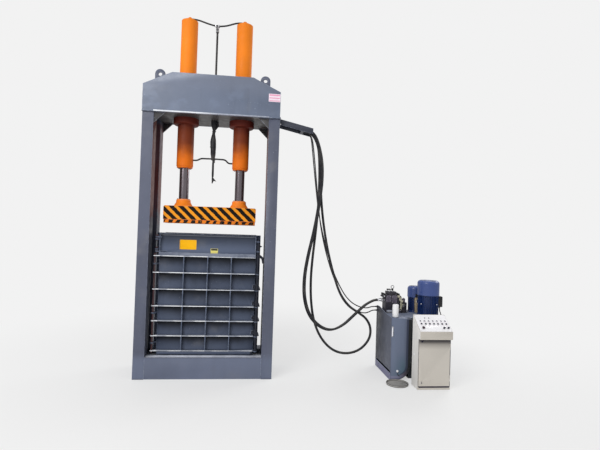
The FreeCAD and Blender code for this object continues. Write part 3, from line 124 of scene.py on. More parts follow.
class BalerStudio(bpy.types.PropertyGroup):
    """The light and the ground"""
    key: FloatProperty(name="Key light", description="Power of the large lamp at the front left",
                       default=520, min=0, unit="POWER")
    rim: FloatProperty(name="Rim light", description="Power of the lamp at the back right",
                       default=160, min=0, unit="POWER")
    sky: FloatProperty(name="Sky", description="Strength of the even light from all round",
                       default=0.62, min=0, subtype="FACTOR")
    ground: paint_of("Ground", "Colour of the floor and of what is behind", 242, 242, 242)


def sizes():
    """The sizes as the sidebar has them."""
    return bpy.context.scene.baler_sizes


def hue(given, times=1.0):
    """A shader's colour from a paint's name, from (red, green, blue) as shown, or from (either, times)."""
    if isinstance(given, bpy.types.NodeSocket):
        return given
    if len(given) == 2:
        return hue(given[0], given[1] * times)
    found = getattr(bpy.context.scene.baler_paints, given) if isinstance(given, str) else display(*given)
    return tuple(min(1.0, part * times) for part in found)


# ---------------------------------------- node trees

class Nodes:
    """Short ways to add and link nodes."""

    def add(self, kind, inputs=None, **settings):
        """A new node with its settings, and with its inputs set or linked."""
        node = self.tree.nodes.new(kind)
        for name, setting in settings.items():
            setattr(node, name, setting)
        for key, given in (inputs or {}).items():
            self.feed(node.inputs[key], given)
        return node

    def out(self, kind, inputs=None, **settings):
        """The first output of a new node."""
        return self.add(kind, inputs, **settings).outputs[0]

    def feed(self, socket, given):
        if isinstance(given, bpy.types.NodeSocket):
            self.tree.links.new(given, socket)
        elif isinstance(given, (tuple, list)) and len(given) == 3 and socket.type == "RGBA":
            socket.default_value = (*given, 1)
        else:
            socket.default_value = given

    def maths(self, operation, *given):
        """One step of reckoning with sockets and numbers."""
        return self.out("ShaderNodeMath", dict(enumerate(given)), operation=operation)

    def product(self, total, *factors):
        """The product of masks and numbers."""
        for factor in factors:
            total = self.maths("MULTIPLY", total, factor)
        return total


FINISHES = {}


class Finish(Nodes):
    """A surface in the making. Its nodes read the piece's own coordinates."""

    def __init__(self, name, metallic=0.0, coat=0.0, specular=0.5):
        self.material = FINISHES[name] = bpy.data.materials.new(name + "_finish")
        self.material.use_nodes = True
        self.tree = self.material.node_tree
        self.shader = self.tree.nodes["Principled BSDF"]
        for label, setting in (("Metallic", metallic), ("Coat Weight", coat), ("Coat Roughness", 0.18),
                               ("Specular IOR Level", specular)):
            self.shader.inputs[label].default_value = setting
        spot = self.add("ShaderNodeTexCoord").outputs
        self.place = spot["Object"]
        self.x, self.y, self.z = self.add("ShaderNodeSeparateXYZ", {0: self.place}).outputs
        self.right, self.back, self.up = self.add("ShaderNodeSeparateXYZ", {0: spot["Normal"]}).outputs

    def noise(self, scale, detail, stretch=(1, 1, 1), shift=(0, 0, 0)):
        """Blotches from 0 to 1, fixed to the piece."""
        spot = self.out("ShaderNodeMapping", {"Vector": self.place, "Scale": stretch, "Location": shift})
        return self.out("ShaderNodeTexNoise", {"Vector": spot, "Scale": scale, "Detail": detail,
                                               "Roughness": 0.55})

    def span(self, given, low, high, to_low=0.0, to_high=1.0):
        """The value's way from low to high, as a soft step from one number to another."""
        return self.out("ShaderNodeMapRange", {0: given, 1: low, 2: high, 3: to_low, 4: to_high},
                        interpolation_type="SMOOTHSTEP")

    def patches(self, scale, detail, low, high, to_low=0.0, to_high=1.0, **noise):
        """A soft step of a noise."""
        return self.span(self.noise(scale, detail, **noise), low, high, to_low, to_high)

    def wavy(self, given, scale, detail, by, **noise):
        """The value, pushed up and down by a noise."""
        return self.maths("ADD", given, self.patches(scale, detail, *MIDST, -by, by, **noise))

    def mix(self, factor, first, second):
        """From the first colour to the second."""
        return self.add("ShaderNodeMix", {0: factor, 6: hue(first), 7: hue(second)},
                        data_type="RGBA").outputs[2]

    def colour(self, given):
        """Sets the base colour."""
        self.feed(self.shader.inputs["Base Color"], given)
        return self

    def over(self, colour, *masks):
        """Lays a colour on what is there, as far as all the masks let it."""
        return self.colour(self.mix(self.product(*masks),
                                    self.shader.inputs["Base Color"].links[0].from_socket, colour))

    def rough(self, low, high, by=None):
        """Roughness between two numbers, by a noise."""
        self.feed(self.shader.inputs["Roughness"],
                  self.span(by or self.noise(13, 4), *MIDST, low, high))
        return self

    def bumps(self, *layers):
        """Each layer is (height, strength, depth in metres)."""
        below = None
        for height, strength, depth in layers:
            node = self.add("ShaderNodeBump", {"Height": height, "Strength": strength, "Distance": depth})
            if below is not None:
                self.feed(node.inputs["Normal"], below)
            below = node.outputs[0]
        self.feed(self.shader.inputs["Normal"], below)
        return self


def enamel(name, colour, gloss=0.40, grime=1.0, coat=0.12, worn="edge_pale", specular=0.4):
    """Sprayed machine enamel: uneven coats, runs of grime, a fine orange peel and small chips."""
    f = Finish(name, coat=coat, specular=specular)
    f.colour(f.mix(f.patches(1.4, 3, 0.32, 0.68), (colour, 0.90), (colour, 1.10)))
    f.over((colour, 0.55), f.patches(8, 5, 0.52, 0.78, stretch=(1, 1, 0.08)), 0.34 * grime)
    f.over((150, 146, 140), f.patches(3.3, 6, 0.52, 0.78, shift=(4, 1, 7)), 0.20 * grime)
    f.over((120, 108, 96), f.span(f.z, 0.45, 0.0), f.patches(6, 5, 0.4, 0.7), 0.16 * grime)
    f.over(worn, f.patches(60, 2, 0.69, 0.72), f.patches(3.7, 2, 0.52, 0.62, shift=(2, 9, 4)), 0.75 * grime)
    f.rough(gloss, gloss + 0.18, f.noise(12, 5))
    return f.bumps((f.noise(7, 3), 0.10, 0.006), (f.noise(420, 2), 0.05, 0.0006))


def worn_edge(name, colour, bare=0.55):
    """An edge where the enamel is rubbed thin, with bare steel here and there."""
    f = Finish(name, coat=0.05)
    f.colour(f.mix(f.product(f.patches(24, 5, 0.42, 0.60), bare), (colour, 1.16), "edge_pale"))
    return f.rough(0.34, 0.6).bumps((f.noise(160, 3), 0.2, 0.0008))


def steel(name, colour, low, high, along=(1, 1, 0.05), film=0.2):
    """Bare steel with fine tool marks along one way and a thin uneven film of oil."""
    f = Finish(name, metallic=0.9)
    marks = f.noise(260, 3, stretch=along)
    f.colour(f.mix(marks, (colour, 0.85), (colour, 1.12)))
    f.over((66, 54, 44), f.patches(5, 5, 0.5, 0.75), film)
    return f.rough(low, high, f.noise(20, 5, stretch=along)).bumps((marks, 0.12, 0.0003))


def moulded(name, colour, low=0.35, high=0.5, grain=520, specular=0.35):
    """Moulded plastic with a fine grain and rubbed-in dust."""
    f = Finish(name, specular=specular)
    f.colour(f.mix(f.product(f.patches(30, 5, 0.5, 0.8), 0.18), colour, (140, 136, 130)))
    return f.rough(low, high).bumps((f.noise(grain, 2), 0.10, 0.0003))


def hose_cover():
    """A cloth-wrapped rubber skin, dusty on its upper side."""
    f = Finish("hose_rubber", specular=0.25)
    f.colour(f.mix(f.product(f.patches(9, 6, 0.45, 0.75), 0.26), "rubber_black", (120, 116, 110)))
    f.over((150, 148, 142), f.span(f.up, 0.1, 1.0), 0.12)
    f.rough(0.42, 0.62)
    return f.bumps((f.noise(700, 2, stretch=(1, 1, 0.35)), 0.25, 0.0006), (f.noise(60, 2), 0.1, 0.001))


# ---------------------------------------- the paints, by the pieces they cover

def column_enamel(name, side):
    """Frame enamel. High up, what faces inward was missed by the spray gun and is still primer."""
    f = enamel(name, "frame_blue")
    inner = f.span(f.maths("MULTIPLY", f.right, -side), 0.6, 0.8)
    post = f.product(f.span(f.back, -0.6, -0.8), f.span(f.y, 0.10, 0.12))
    high = f.product(f.span(f.wavy(f.z, 5, 4, 0.12), 2.05, 2.25), f.span(f.z, 3.47, 3.40))
    f.over(("base_blue", 1.06 - 0.03 * side), f.span(f.z, 0.36, 0.22), 0.85)
    # Painted shade: the faces turned inward are darkened.
    f.over(("frame_blue", 0.40), inner, 0.55)
    return f.over("primer", f.maths("MAXIMUM", inner, post), high,
                  f.patches(3, 5, 0.30, 0.55, 0.45, 1.0, stretch=(1, 1, 0.3)))


def head_enamel():
    """Head enamel: paler along the top, blotched where two coats met."""
    f = enamel("head_enamel", "head_blue", gloss=0.34, grime=0.7)
    f.over(("head_blue", 1.45), f.patches(2.6, 4, 0.50, 0.64, stretch=(1, 1, 1.4), shift=(3, 0, 2)), 0.5)
    return f.over((124, 130, 146), f.span(f.z, 3.66, 3.98), 0.6)


def lip_enamel():
    """The half-round lip under the head's plate, rubbed bright towards the left."""
    f = worn_edge("lip_bright", (150, 156, 170), 0.6)
    # Painted highlight along the lip, brightest towards the left.
    return f.over((232, 236, 242), f.span(f.x, 0.15, -0.25), f.patches(5, 4, 0.35, 0.6, 0.6, 1.0))


def ram_enamel(name, fades=False):
    """Orange enamel. Under the head it fades through brown to the red-brown of the collars."""
    f = enamel(name, "ram_orange", gloss=0.46, grime=0.45, coat=0.0, worn=(90, 60, 40), specular=0.14)
    if fades:
        height = f.wavy(f.z, 3, 4, 0.05)
        under = f.span(f.z, 3.50, 3.49)
        # Painted shade under the head: darker orange, then brown that is partly overspray, then red-brown
        # next to the head.
        f.over((222, 108, 22), under, 0.8)
        f.over("ram_shade_and_overspray", under, f.span(height, 2.88, 3.20))
        f.over("ram_shade", under, f.span(height, 3.24, 3.42))
    return f


def platen_enamel():
    """Orange enamel, with stripes down to the left across the front."""
    f = ram_enamel("platen_enamel")
    slant = f.maths("ADD", f.x, f.maths("MULTIPLY", f.z, 1.05))
    run = f.wavy(f.maths("DIVIDE", slant, sizes().stripe_pitch), 30, 3, 0.03)
    share = f.maths("FRACT", f.maths("SUBTRACT", run, 0.25))
    dark = f.product(f.span(share, 0.0, 0.03), f.span(share, 0.60, 0.57))
    lined = f.mix(dark, "stripe_yellow", "stripe_black")
    lined = f.mix(f.product(f.patches(46, 4, 0.66, 0.72), 0.6), lined, (170, 100, 36))
    return f.over(lined, f.span(f.back, -0.8, -0.9), f.span(f.z, 2.2765, 2.274))


def sole_enamel():
    """The sole's edge: the same stripes, broken up by knocks."""
    f = ram_enamel("sole_enamel")
    slant = f.maths("SUBTRACT", f.x, f.maths("MULTIPLY", f.z, 0.35))
    share = f.maths("FRACT", f.wavy(f.maths("DIVIDE", slant, 0.098), 18, 3, 0.10))
    dark = f.product(f.span(share, 0.05, 0.10), f.span(share, 0.64, 0.58))
    lined = f.mix(dark, ("ram_orange", 0.92), "stripe_black")
    lined = f.mix(f.product(f.patches(38, 4, 0.60, 0.66), 0.55), lined, (214, 150, 70))
    return f.over(lined, f.span(f.back, -0.8, -0.9))


def chamber_enamel(name):
    """Enamel of the doors and chamber walls."""
    return enamel(name, "chamber_blue", gloss=0.44, grime=0.9, coat=0.0, specular=0.2)


def door_enamel():
    """The main door: each cell is dark under its upper rib, and the ribs' edges are rubbed white."""
    f = chamber_enamel("door_enamel")
    row_change = 0.929                              # the cells are taller above this height
    low, high = (f.maths("FRACT", f.maths("DIVIDE", f.maths("SUBTRACT", f.z, foot), pitch))
                 for foot, pitch in ((0.338, 0.197), (row_change, 0.221)))
    upper = f.span(f.z, row_change - 0.001, row_change + 0.001)
    up_cell = f.maths("ADD", f.product(low, f.maths("SUBTRACT", 1.0, upper)), f.product(high, upper))
    uneven = f.wavy(up_cell, 4, 3, 0.06)
    sheet, proud = f.span(f.y, -0.200, -0.190), f.span(f.y, -0.190, -0.200)
    # Painted light and shade in each cell: lighter towards its foot, painted shade under the rib above.
    f.over(("chamber_blue", 1.25), sheet, f.span(uneven, 0.45, 0.10))
    f.over(("chamber_blue", 0.15), sheet, f.span(uneven, 0.30, 0.92))
    # Painted light on the sides of the ribs and uprights.
    f.over(("chamber_blue", 1.5), proud, f.span(f.y, -0.2340, -0.2325), 0.6)
    keeper = f.product(f.span(f.x, 0.604, 0.607), f.span(up_cell, 0.08, 0.10))
    rib = f.product(f.maths("SUBTRACT", 1.0, keeper), f.span(f.z, 0.3365, 0.3385))
    tip = f.product(f.span(f.y, -0.2300, -0.2335), f.span(f.back, -0.5, -0.8), rib,
                    f.span(up_cell, 0.072, 0.062))
    top = f.product(f.span(f.up, 0.7, 0.9), f.span(f.y, -0.195, -0.225), rib)
    across = f.maths("FRACT", f.maths("DIVIDE", f.maths("ADD", f.x, 0.942), 0.314))
    patch = f.span(f.wavy(across, 5, 3, 0.30, shift=(0, 0, 3)), 0.25, 0.55, 0.28, 1.0)
    white = f.product(patch, f.span(f.x, 0.50, -0.10, 0.50, 1.0))
    f.over((36, 38, 48), keeper, proud)
    # The ribs' tips and tops: painted light, and white that is partly rubbed paint and partly a painted
    # highlight, strongest towards the left.
    f.over((144, 150, 166), tip)
    f.over((250, 252, 255), tip, white)
    return f.over((244, 247, 252), top, f.maths("ADD", f.product(white, 0.7), 0.3))


def feed_enamel():
    """The upper door: its pan is darker towards the top, its rims are rubbed along their upper edges."""
    f = chamber_enamel("feed_enamel")
    pan = f.span(f.y, -0.200, -0.190)
    # Painted shade towards the top of the pan and painted light towards its foot.
    f.over(("chamber_blue", 0.45), pan, f.span(f.z, 1.74, 1.90))
    f.over(("chamber_blue", 1.7), pan, f.span(f.z, 1.80, 1.66))
    # A painted dark strip of shade under the top rim, and a painted highlight line below it.
    f.over((24, 25, 32), f.span(f.y, -0.205, -0.212), f.span(f.z, 1.886, 1.890), 0.95)
    f.over((150, 154, 166), pan, f.span(f.z, 1.868, 1.872), f.span(f.z, 1.886, 1.882), 0.55)
    # Painted highlights on the rims' upward faces; the low rim's front is lighter in patches.
    f.over((150, 156, 170), f.span(f.up, 0.7, 0.9), f.span(f.y, -0.195, -0.225), f.span(f.z, 1.85, 1.80), 0.6)
    return f.over((128, 134, 150), f.span(f.y, -0.226, -0.230), f.span(f.z, 1.66, 1.64),
                  f.patches(6, 3, 0.35, 0.6, 0.5, 1.0), 0.9)


def base_enamel():
    """The beams on the floor; the top of the front one is rubbed bright where bales are dragged out."""
    f = enamel("base_enamel", "base_blue", grime=0.35)
    # Painted light on the front part of the front beam's top.
    lit_top_front = f.product(f.span(f.up, 0.7, 0.9), f.span(f.z, 0.270, 0.276), f.span(f.y, -0.18, -0.24))
    return f.over((222, 226, 238), lit_top_front, f.patches(5, 4, 0.35, 0.6, 0.7, 1.0))


def tank_enamel():
    """Reservoir enamel: dark towards the rear, bluer in front, purple along the rounded edge and the foot."""
    f = enamel("tank_enamel", "tank_blue", grime=0.6, coat=0.05, worn=("tank_blue", 1.5), specular=0.25)
    side, front = f.span(f.right, -0.8, -0.95), f.span(f.back, -0.90, -0.97)
    # Painted shade on the side faces, darkest towards the rear; painted light on the front faces, greener
    # towards the lower left.
    f.over((88, 92, 106), side)
    f.over((44, 46, 55), side, f.span(f.wavy(f.y, 2.4, 3, 0.12), -0.34, 0.24))
    f.over((110, 120, 142), front)
    f.over((90, 112, 130), front, f.span(f.z, 0.42, 0.16), f.span(f.x, 2.50, 2.70))
    # Painted shade on the front's right part and on the set-back front wall; painted light on the top faces.
    f.over((92, 96, 112), front, f.span(f.x, 2.66, 2.76))
    f.over((60, 64, 70), front, f.span(f.y, -0.345, -0.335))
    f.over((150, 158, 178), f.span(f.up, 0.8, 0.9), 0.6)
    # The nose's rounded edge as a band of painted shade, with a purple painted reflection where it turns down
    # and near black where it turns right; a dark line along the band's inner side.
    nose = f.product(f.span(f.y, -0.34, -0.36), f.span(f.right, -0.7, -0.5))
    across = f.maths("MAXIMUM", f.maths("SUBTRACT", f.x, 2.581), 0.0)
    down = f.maths("MAXIMUM", f.maths("SUBTRACT", 0.210, f.z), 0.0)
    out = f.maths("SQRT", f.maths("ADD", f.product(across, across), f.product(down, down)))
    share = f.maths("DIVIDE", across, f.maths("MAXIMUM", out, 0.001))
    lower = f.mix(f.span(share, 0.15, 0.75), (128, 130, 156), (84, 80, 92))
    rolled = f.mix(f.span(share, 0.70, 1.0), lower, (46, 48, 50))
    f.over((52, 58, 78), nose, f.span(out, 0.128, 0.136), f.span(share, 0.2, 0.5), 0.75)
    reach = f.maths("SUBTRACT", out, f.span(share, 0.6, 1.0, 0.0, 0.016))
    f.over(rolled, nose, f.span(reach, 0.138, 0.152))
    return f.over((122, 122, 148), side, f.span(f.z, 0.099, 0.097))


def desk_coat():
    """Textured powder coat, brightest on the left side and shaded under the overhanging lip."""
    f = Finish("desk_coat")
    f.colour(f.mix(f.patches(2.2, 4, *MIDST), ("desk_beige", 0.95), ("desk_beige", 1.04)))
    f.over((150, 140, 126), f.patches(5, 6, 0.55, 0.8, stretch=(1, 1, 0.4)), 0.22)
    # Painted light on the left-facing side.
    f.over((240, 238, 234), f.span(f.right, -0.6, -0.9), 0.85)
    front_tint_and_shade = f.product(f.span(f.back, -0.6, -0.9), f.span(f.y, -0.80, -0.79))
    f.over((204, 198, 189), front_tint_and_shade, 0.8)
    # Painted shade under the overhanging lip and on the faces that look down.
    f.over((96, 90, 88), front_tint_and_shade, f.span(f.z, 0.50, 0.62), 0.62)
    f.over((64, 60, 62), front_tint_and_shade, f.span(f.z, 0.575, 0.625), 0.9)
    f.over((40, 36, 34), f.span(f.up, -0.5, -0.9), 0.85)
    return f.rough(0.42, 0.58).bumps((f.noise(900, 2), 0.22, 0.0005), (f.noise(6, 2), 0.05, 0.003))


def motor_enamel(name, colour):
    """Glossy motor enamel with dust in it."""
    return enamel(name, colour, gloss=0.30, grime=0.45, coat=0.2, worn=(colour, 1.4), specular=0.3)


def mix_finishes():
    """Every finish, once, under its own name."""
    for own in (base_enamel, lip_enamel, head_enamel, platen_enamel, sole_enamel, door_enamel, feed_enamel,
                tank_enamel, desk_coat, hose_cover):
        own()
    column_enamel("left_column_enamel", -1)
    column_enamel("right_column_enamel", 1)
    ram_enamel("ram_enamel", fades=True)
    chamber_enamel("chamber_enamel")
    motor_enamel("motor_enamel", "motor_navy")
    cowl = motor_enamel("cowl_enamel", "cowl_blue")
    # Painted light: the cowls' upward faces are lighter.
    cowl.over(("cowl_blue", 1.5), cowl.span(cowl.up, 0.3, 1.0), 0.5)
    # The edges of the base, the chamber and the lid are painted lighter than their plates, partly a painted
    # highlight along the edge besides the rubbed patches.
    for name, colour, bare in (
            ("frame_edge", "frame_blue", 0.55), ("base_edge", (128, 135, 152), 0.5),
            ("head_edge", "head_blue", 0.8), ("ram_edge", "ram_orange", 0.3),
            ("chamber_edge", ("chamber_blue", 1.45), 0.6), ("tank_edge", ("tank_blue", 1.1), 0.3),
            ("lid_edge", (132, 138, 160), 0.4), ("desk_edge", "desk_beige", 0.35)):
        worn_edge(name, colour, bare)
    enamel("frame_enamel", "frame_blue")
    enamel("arm_enamel", ("frame_blue", 0.42), grime=0.6)
    enamel("under_enamel", (66, 65, 66), grime=1.2)
    enamel("pin_primer", (72, 50, 54), grime=0.8, specular=0.2)
    enamel("lock_enamel", (33, 35, 45), grime=0.5, specular=0.2)
    enamel("tray_enamel", (172, 170, 166), gloss=0.5, grime=0.8)
    enamel("tray_edge", (44, 44, 46), gloss=0.5, grime=0.5)
    enamel("box_beige", (176, 160, 132), grime=0.7)
    enamel("valve_iron", (48, 46, 54), gloss=0.38)
    enamel("valve_plate", (92, 86, 100), gloss=0.3, grime=1.2, worn=(190, 186, 190))
    enamel("white_can", (254, 254, 255), gloss=0.28, grime=0.0, specular=0.8)
    enamel("notice_yellow", "plate_yellow", gloss=0.3, grime=0.35, coat=0.0, specular=0.1)
    enamel("notice_lemon", (238, 226, 132), gloss=0.3, grime=0.35, coat=0.0, specular=0.1)
    for tone, colour in (("black", (30, 30, 30)), ("pale", (240, 222, 234)), ("rose", (226, 150, 182))):
        enamel("notice_" + tone, colour, gloss=0.3, grime=0.2)
    steel("rod_chrome", (124, 116, 121), 0.16, 0.28, along=(1, 1, 0.03), film=0.45)
    steel("pin_steel", (150, 152, 158), 0.3, 0.5)
    steel("plated_steel", (212, 212, 216), 0.2, 0.34, along=(1, 0.3, 1), film=0.08)
    moulded("lever_black", (16, 16, 18), 0.7, 0.8, specular=0.0)
    moulded("black_plastic", (30, 30, 33))
    moulded("pipe_black", (30, 31, 34), 0.3, 0.45, 240)
    moulded("coil_cream", (186, 182, 160), 0.4, 0.55)
    moulded("panel_sheet", "panel_white", 0.24, 0.34, 900, specular=0.9)
    moulded("button_dark", (34, 30, 52), 0.25, 0.4)
    moulded("button_green", (36, 60, 58))
    moulded("lamp_smoke", (70, 64, 84), 0.12, 0.2)
    moulded("stop_dark", (48, 22, 40))


# ---------------------------------------- meshes

def millimetres(*numbers):
    """A place in metres."""
    return Vector(numbers) / 1000


def new_object(name, data):
    thing = bpy.data.objects.new(name, data)
    bpy.context.scene.collection.objects.link(thing)
    return thing


def flattened(thing, angle):
    """The piece as a plain mesh, with its modifiers worked in and its faces shaded."""
    graph = bpy.context.evaluated_depsgraph_get()
    mesh = bpy.data.meshes.new_from_object(thing.evaluated_get(graph), preserve_all_data_layers=True,
                                           depsgraph=graph)
    name = thing.name
    bpy.data.objects.remove(thing)
    mesh.polygons.foreach_set("use_smooth", [True] * len(mesh.polygons))
    mesh.set_sharp_from_angle(angle=math.radians(angle))
    return new_object(name, mesh)


def seated(thing, body, stands_for=()):
    """The finished piece, riding its body."""
    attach(thing, body)
    if stands_for:
        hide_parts(*stands_for)


def upright(axis):
    """The turn that carries Z to an axis."""
    return Vector(UP).rotation_difference(Vector(axis)).to_matrix().to_4x4()


def circle(x, y, radius, count, start=0.0):
    """Each place on a level circle, with its direction."""
    for i in range(count):
        angle = math.tau * i / count + start
        way = (math.cos(angle), math.sin(angle), 0)
        yield x + radius * way[0], y + radius * way[1], way


def rect(low, high):
    """The corners of a flat rectangle."""
    return [(low[0], low[1]), (high[0], low[1]), (high[0], high[1]), (low[0], high[1])]


class Shape:
    """Solids gathered in one mesh. Each gets the finish that was named last."""

    def __init__(self, finish):
        self.mesh = bmesh.new()
        self.finishes = []
        self.of(finish)

    def of(self, finish):
        """Names the finish of the solids that follow."""
        if finish not in self.finishes:
            self.finishes.append(finish)
        self.finish = self.finishes.index(finish)
        return self

    def put(self, verts, faces):
        """A solid from its corners in metres."""
        made = [self.mesh.verts.new(vert) for vert in verts]
        for face in faces:
            self.mesh.faces.new([made[i] for i in face]).material_index = self.finish

    def lathe(self, profile, at, axis=UP, steps=28):
        """A turned solid: corners of (radius, height) in millimetres, from one end to the other."""
        move = Matrix.Translation(millimetres(*at)) @ upright(axis)
        verts, rings = [], []
        for radius, height in profile:
            count = steps if radius else 1
            rings.append([len(verts) + i % count for i in range(steps)])
            verts += [move @ millimetres(x, y, height) for x, y, _ in circle(0, 0, radius, count)]
        pairs = [(i, (i + 1) % steps) for i in range(steps)]
        self.put(verts, [list(dict.fromkeys((low[i], low[j], high[j], high[i])))
                         for low, high in zip(rings, rings[1:]) for i, j in pairs])

    def prism(self, outline, start, end, axis="y"):
        """A flat outline in millimetres, drawn from start to end along one axis."""
        order = {"y": (0, 2, 1), "z": (0, 1, 2)}[axis]
        count = len(outline)
        verts = [millimetres(*[(across, up, depth)[i] for i in order])
                 for depth in (start, end) for across, up in outline]
        sides = [(i, (i + 1) % count, count + (i + 1) % count, count + i) for i in range(count)]
        self.put(verts, [range(count - 1, -1, -1), range(count, 2 * count), *sides])

    def block(self, low, high):
        """A box from its lowest to its highest corner."""
        self.prism(rect(low, high), low[2], high[2], "z")

    def piece(self, name, slot, body="press", stands_for=(), round_edges=0.0):
        """The finished piece, with its edges rounded."""
        bmesh.ops.recalc_face_normals(self.mesh, faces=self.mesh.faces)
        data = bpy.data.meshes.new(name)
        self.mesh.to_mesh(data)
        self.mesh.free()
        for finish in self.finishes:
            data.materials.append(FINISHES[finish])
        thing = new_object(name, data)
        if round_edges:
            rounded(thing, round_edges)
        seated(flattened(thing, 38), body, stands_for)


def rounded(thing, width, edge_finish=-1):
    """Rounds the sharp edges; they keep their finish, or get the one in the slot that is given."""
    bevel = thing.modifiers.new("edges", "BEVEL")
    bevel.width, bevel.segments = width, 2
    bevel.limit_method, bevel.angle_limit = "ANGLE", math.radians(42)
    bevel.use_clamp_overlap = False
    bevel.material = edge_finish
    bevel.harden_normals = True


def refined(edge, body="press", width=None, **finishes):
    """Each CAD node's own shape with its triangles joined and its sharp edges rounded and worn."""
    for node, finish in finishes.items():
        work = bmesh.new()
        work.from_mesh(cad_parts[node].data)
        bmesh.ops.remove_doubles(work, verts=work.verts, dist=2e-5)
        bmesh.ops.dissolve_limit(work, angle_limit=math.radians(1.5), verts=work.verts, edges=work.edges)
        data = bpy.data.meshes.new(node + "_finished")
        work.to_mesh(data)
        work.free()
        for name in (finish, edge):
            data.materials.append(FINISHES[name])
        data.polygons.foreach_set("material_index", [0] * len(data.polygons))
        thing = new_object(node + "_finished", data)
        rounded(thing, width or sizes().edge_round, 1)
        seated(flattened(thing, 30), body, (node,))


def coat(finish, *nodes):
    """A finish on CAD nodes that keep their own mesh."""
    for node in nodes:
        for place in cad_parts[node].material_slots:
            place.material = FINISHES[finish]


# ---------------------------------------- what repeats, grown by geometry nodes

class Growth(Nodes):
    """A geometry tree in the making, with named inputs."""

    def __init__(self, name, **named):
        self.tree = bpy.data.node_groups.new(name, "GeometryNodeTree")
        face = self.tree.interface
        face.new_socket("Geometry", in_out="INPUT", socket_type="NodeSocketGeometry")
        for label, default in named.items():
            face.new_socket(label.replace("_", " "), in_out="INPUT",
                            socket_type="NodeSocketFloat").default_value = default
        face.new_socket("Material", in_out="INPUT", socket_type="NodeSocketMaterial")
        face.new_socket("Geometry", in_out="OUTPUT", socket_type="NodeSocketGeometry")
        self.given = self.add("NodeGroupInput").outputs

    def facing(self, axis="Z"):
        """The turn that carries an axis to the seed point's own direction."""
        wanted = self.out("GeometryNodeInputNamedAttribute", {"Name": "facing"}, data_type="FLOAT_VECTOR")
        return self.out("FunctionNodeAlignRotationToVector", {"Vector": wanted}, axis=axis)

    def drum(self, vertices, radius, depth):
        """A prism or a cylinder."""
        return self.out("GeometryNodeMeshCylinder", {"Vertices": vertices, "Radius": radius, "Depth": depth})

    def round_of(self, resolution, radius):
        """A circle as a curve."""
        return self.out("GeometryNodeCurvePrimitiveCircle", {"Resolution": resolution, "Radius": radius})

    def on_points(self, instance, rotation):
        """The tree that sets one thing on every seed point."""
        return self.done(self.out("GeometryNodeInstanceOnPoints", {
            "Points": self.given["Geometry"], "Instance": instance, "Rotation": rotation}))

    def done(self, geometry):
        """The tree's end: one real mesh in the given finish."""
        real = self.out("GeometryNodeRealizeInstances", {0: geometry})
        coated = self.out("GeometryNodeSetMaterial", {"Geometry": real, "Material": self.given["Material"]})
        self.feed(self.add("NodeGroupOutput").inputs[0], coated)
        return self.tree


def bolt_growth():
    """A hexagon head on a washer at every seed point, each turned by chance about its own axis."""
    g = Growth("bolt_heads", Head_Radius=0.009, Head_Height=0.006, Washer_Radius=0.013)
    half = g.maths("MULTIPLY", g.given["Head Height"], 0.5)
    lift = g.out("ShaderNodeCombineXYZ", {"Z": g.maths("ADD", half, 0.0015)})
    head = g.out("GeometryNodeTransform", {
        "Geometry": g.drum(6, g.given["Head Radius"], g.given["Head Height"]), "Translation": lift})
    both = g.add("GeometryNodeJoinGeometry", {0: head})
    g.feed(both.inputs[0], g.drum(18, g.given["Washer Radius"], 0.003))
    chance = g.add("FunctionNodeRandomValue", {3: math.tau, "Seed": 7}, data_type="FLOAT").outputs[1]
    spin = g.out("FunctionNodeAxisAngleToRotation", {"Axis": UP, "Angle": chance})
    turn = g.out("FunctionNodeRotateRotation", {"Rotation": g.facing(), "Rotate By": spin},
                 rotation_space="LOCAL")
    return g.on_points(both.outputs[0], turn)


def bead_growth():
    """A rippled weld bead along every seed line."""
    g = Growth("weld_beads", Bead_Radius=0.0045, Ripple_Length=0.011)
    line = g.out("GeometryNodeMeshToCurve", {"Mesh": g.given["Geometry"]})
    line = g.out("GeometryNodeResampleCurve", {
        "Curve": line, "Length": g.maths("MULTIPLY", g.given["Ripple Length"], 0.5)}, mode="LENGTH")
    odd = g.maths("MODULO", g.out("GeometryNodeInputIndex"), 2.0)
    swell = g.maths("ADD", g.maths("MULTIPLY", odd, 0.34), 0.8)
    return g.done(g.out("GeometryNodeCurveToMesh", {
        "Curve": line, "Profile Curve": g.round_of(6, g.given["Bead Radius"]), "Scale": swell,
        "Fill Caps": True}))


def slot_growth():
    """A flat round-ended air slot at every seed point, lying along the point's direction."""
    g = Growth("air_slots", Slot_Length=0.026, Slot_Width=0.005, Slot_Depth=0.0016)
    size = g.out("ShaderNodeCombineXYZ", {"X": g.given["Slot Length"], "Y": g.given["Slot Width"],
                                          "Z": g.given["Slot Depth"]})
    cake = g.out("GeometryNodeTransform", {"Geometry": g.drum(12, 0.5, 1.0), "Scale": size})
    return g.on_points(cake, g.facing("X"))


def ring_growth():
    """A round plated collar at every seed point, standing along the point's direction."""
    g = Growth("button_collars", Ring_Radius=0.0125, Ring_Thickness=0.0026)
    ring = g.out("GeometryNodeCurveToMesh", {"Curve": g.round_of(28, g.given["Ring Radius"]),
                                             "Profile Curve": g.round_of(8, g.given["Ring Thickness"])})
    return g.on_points(ring, g.facing())


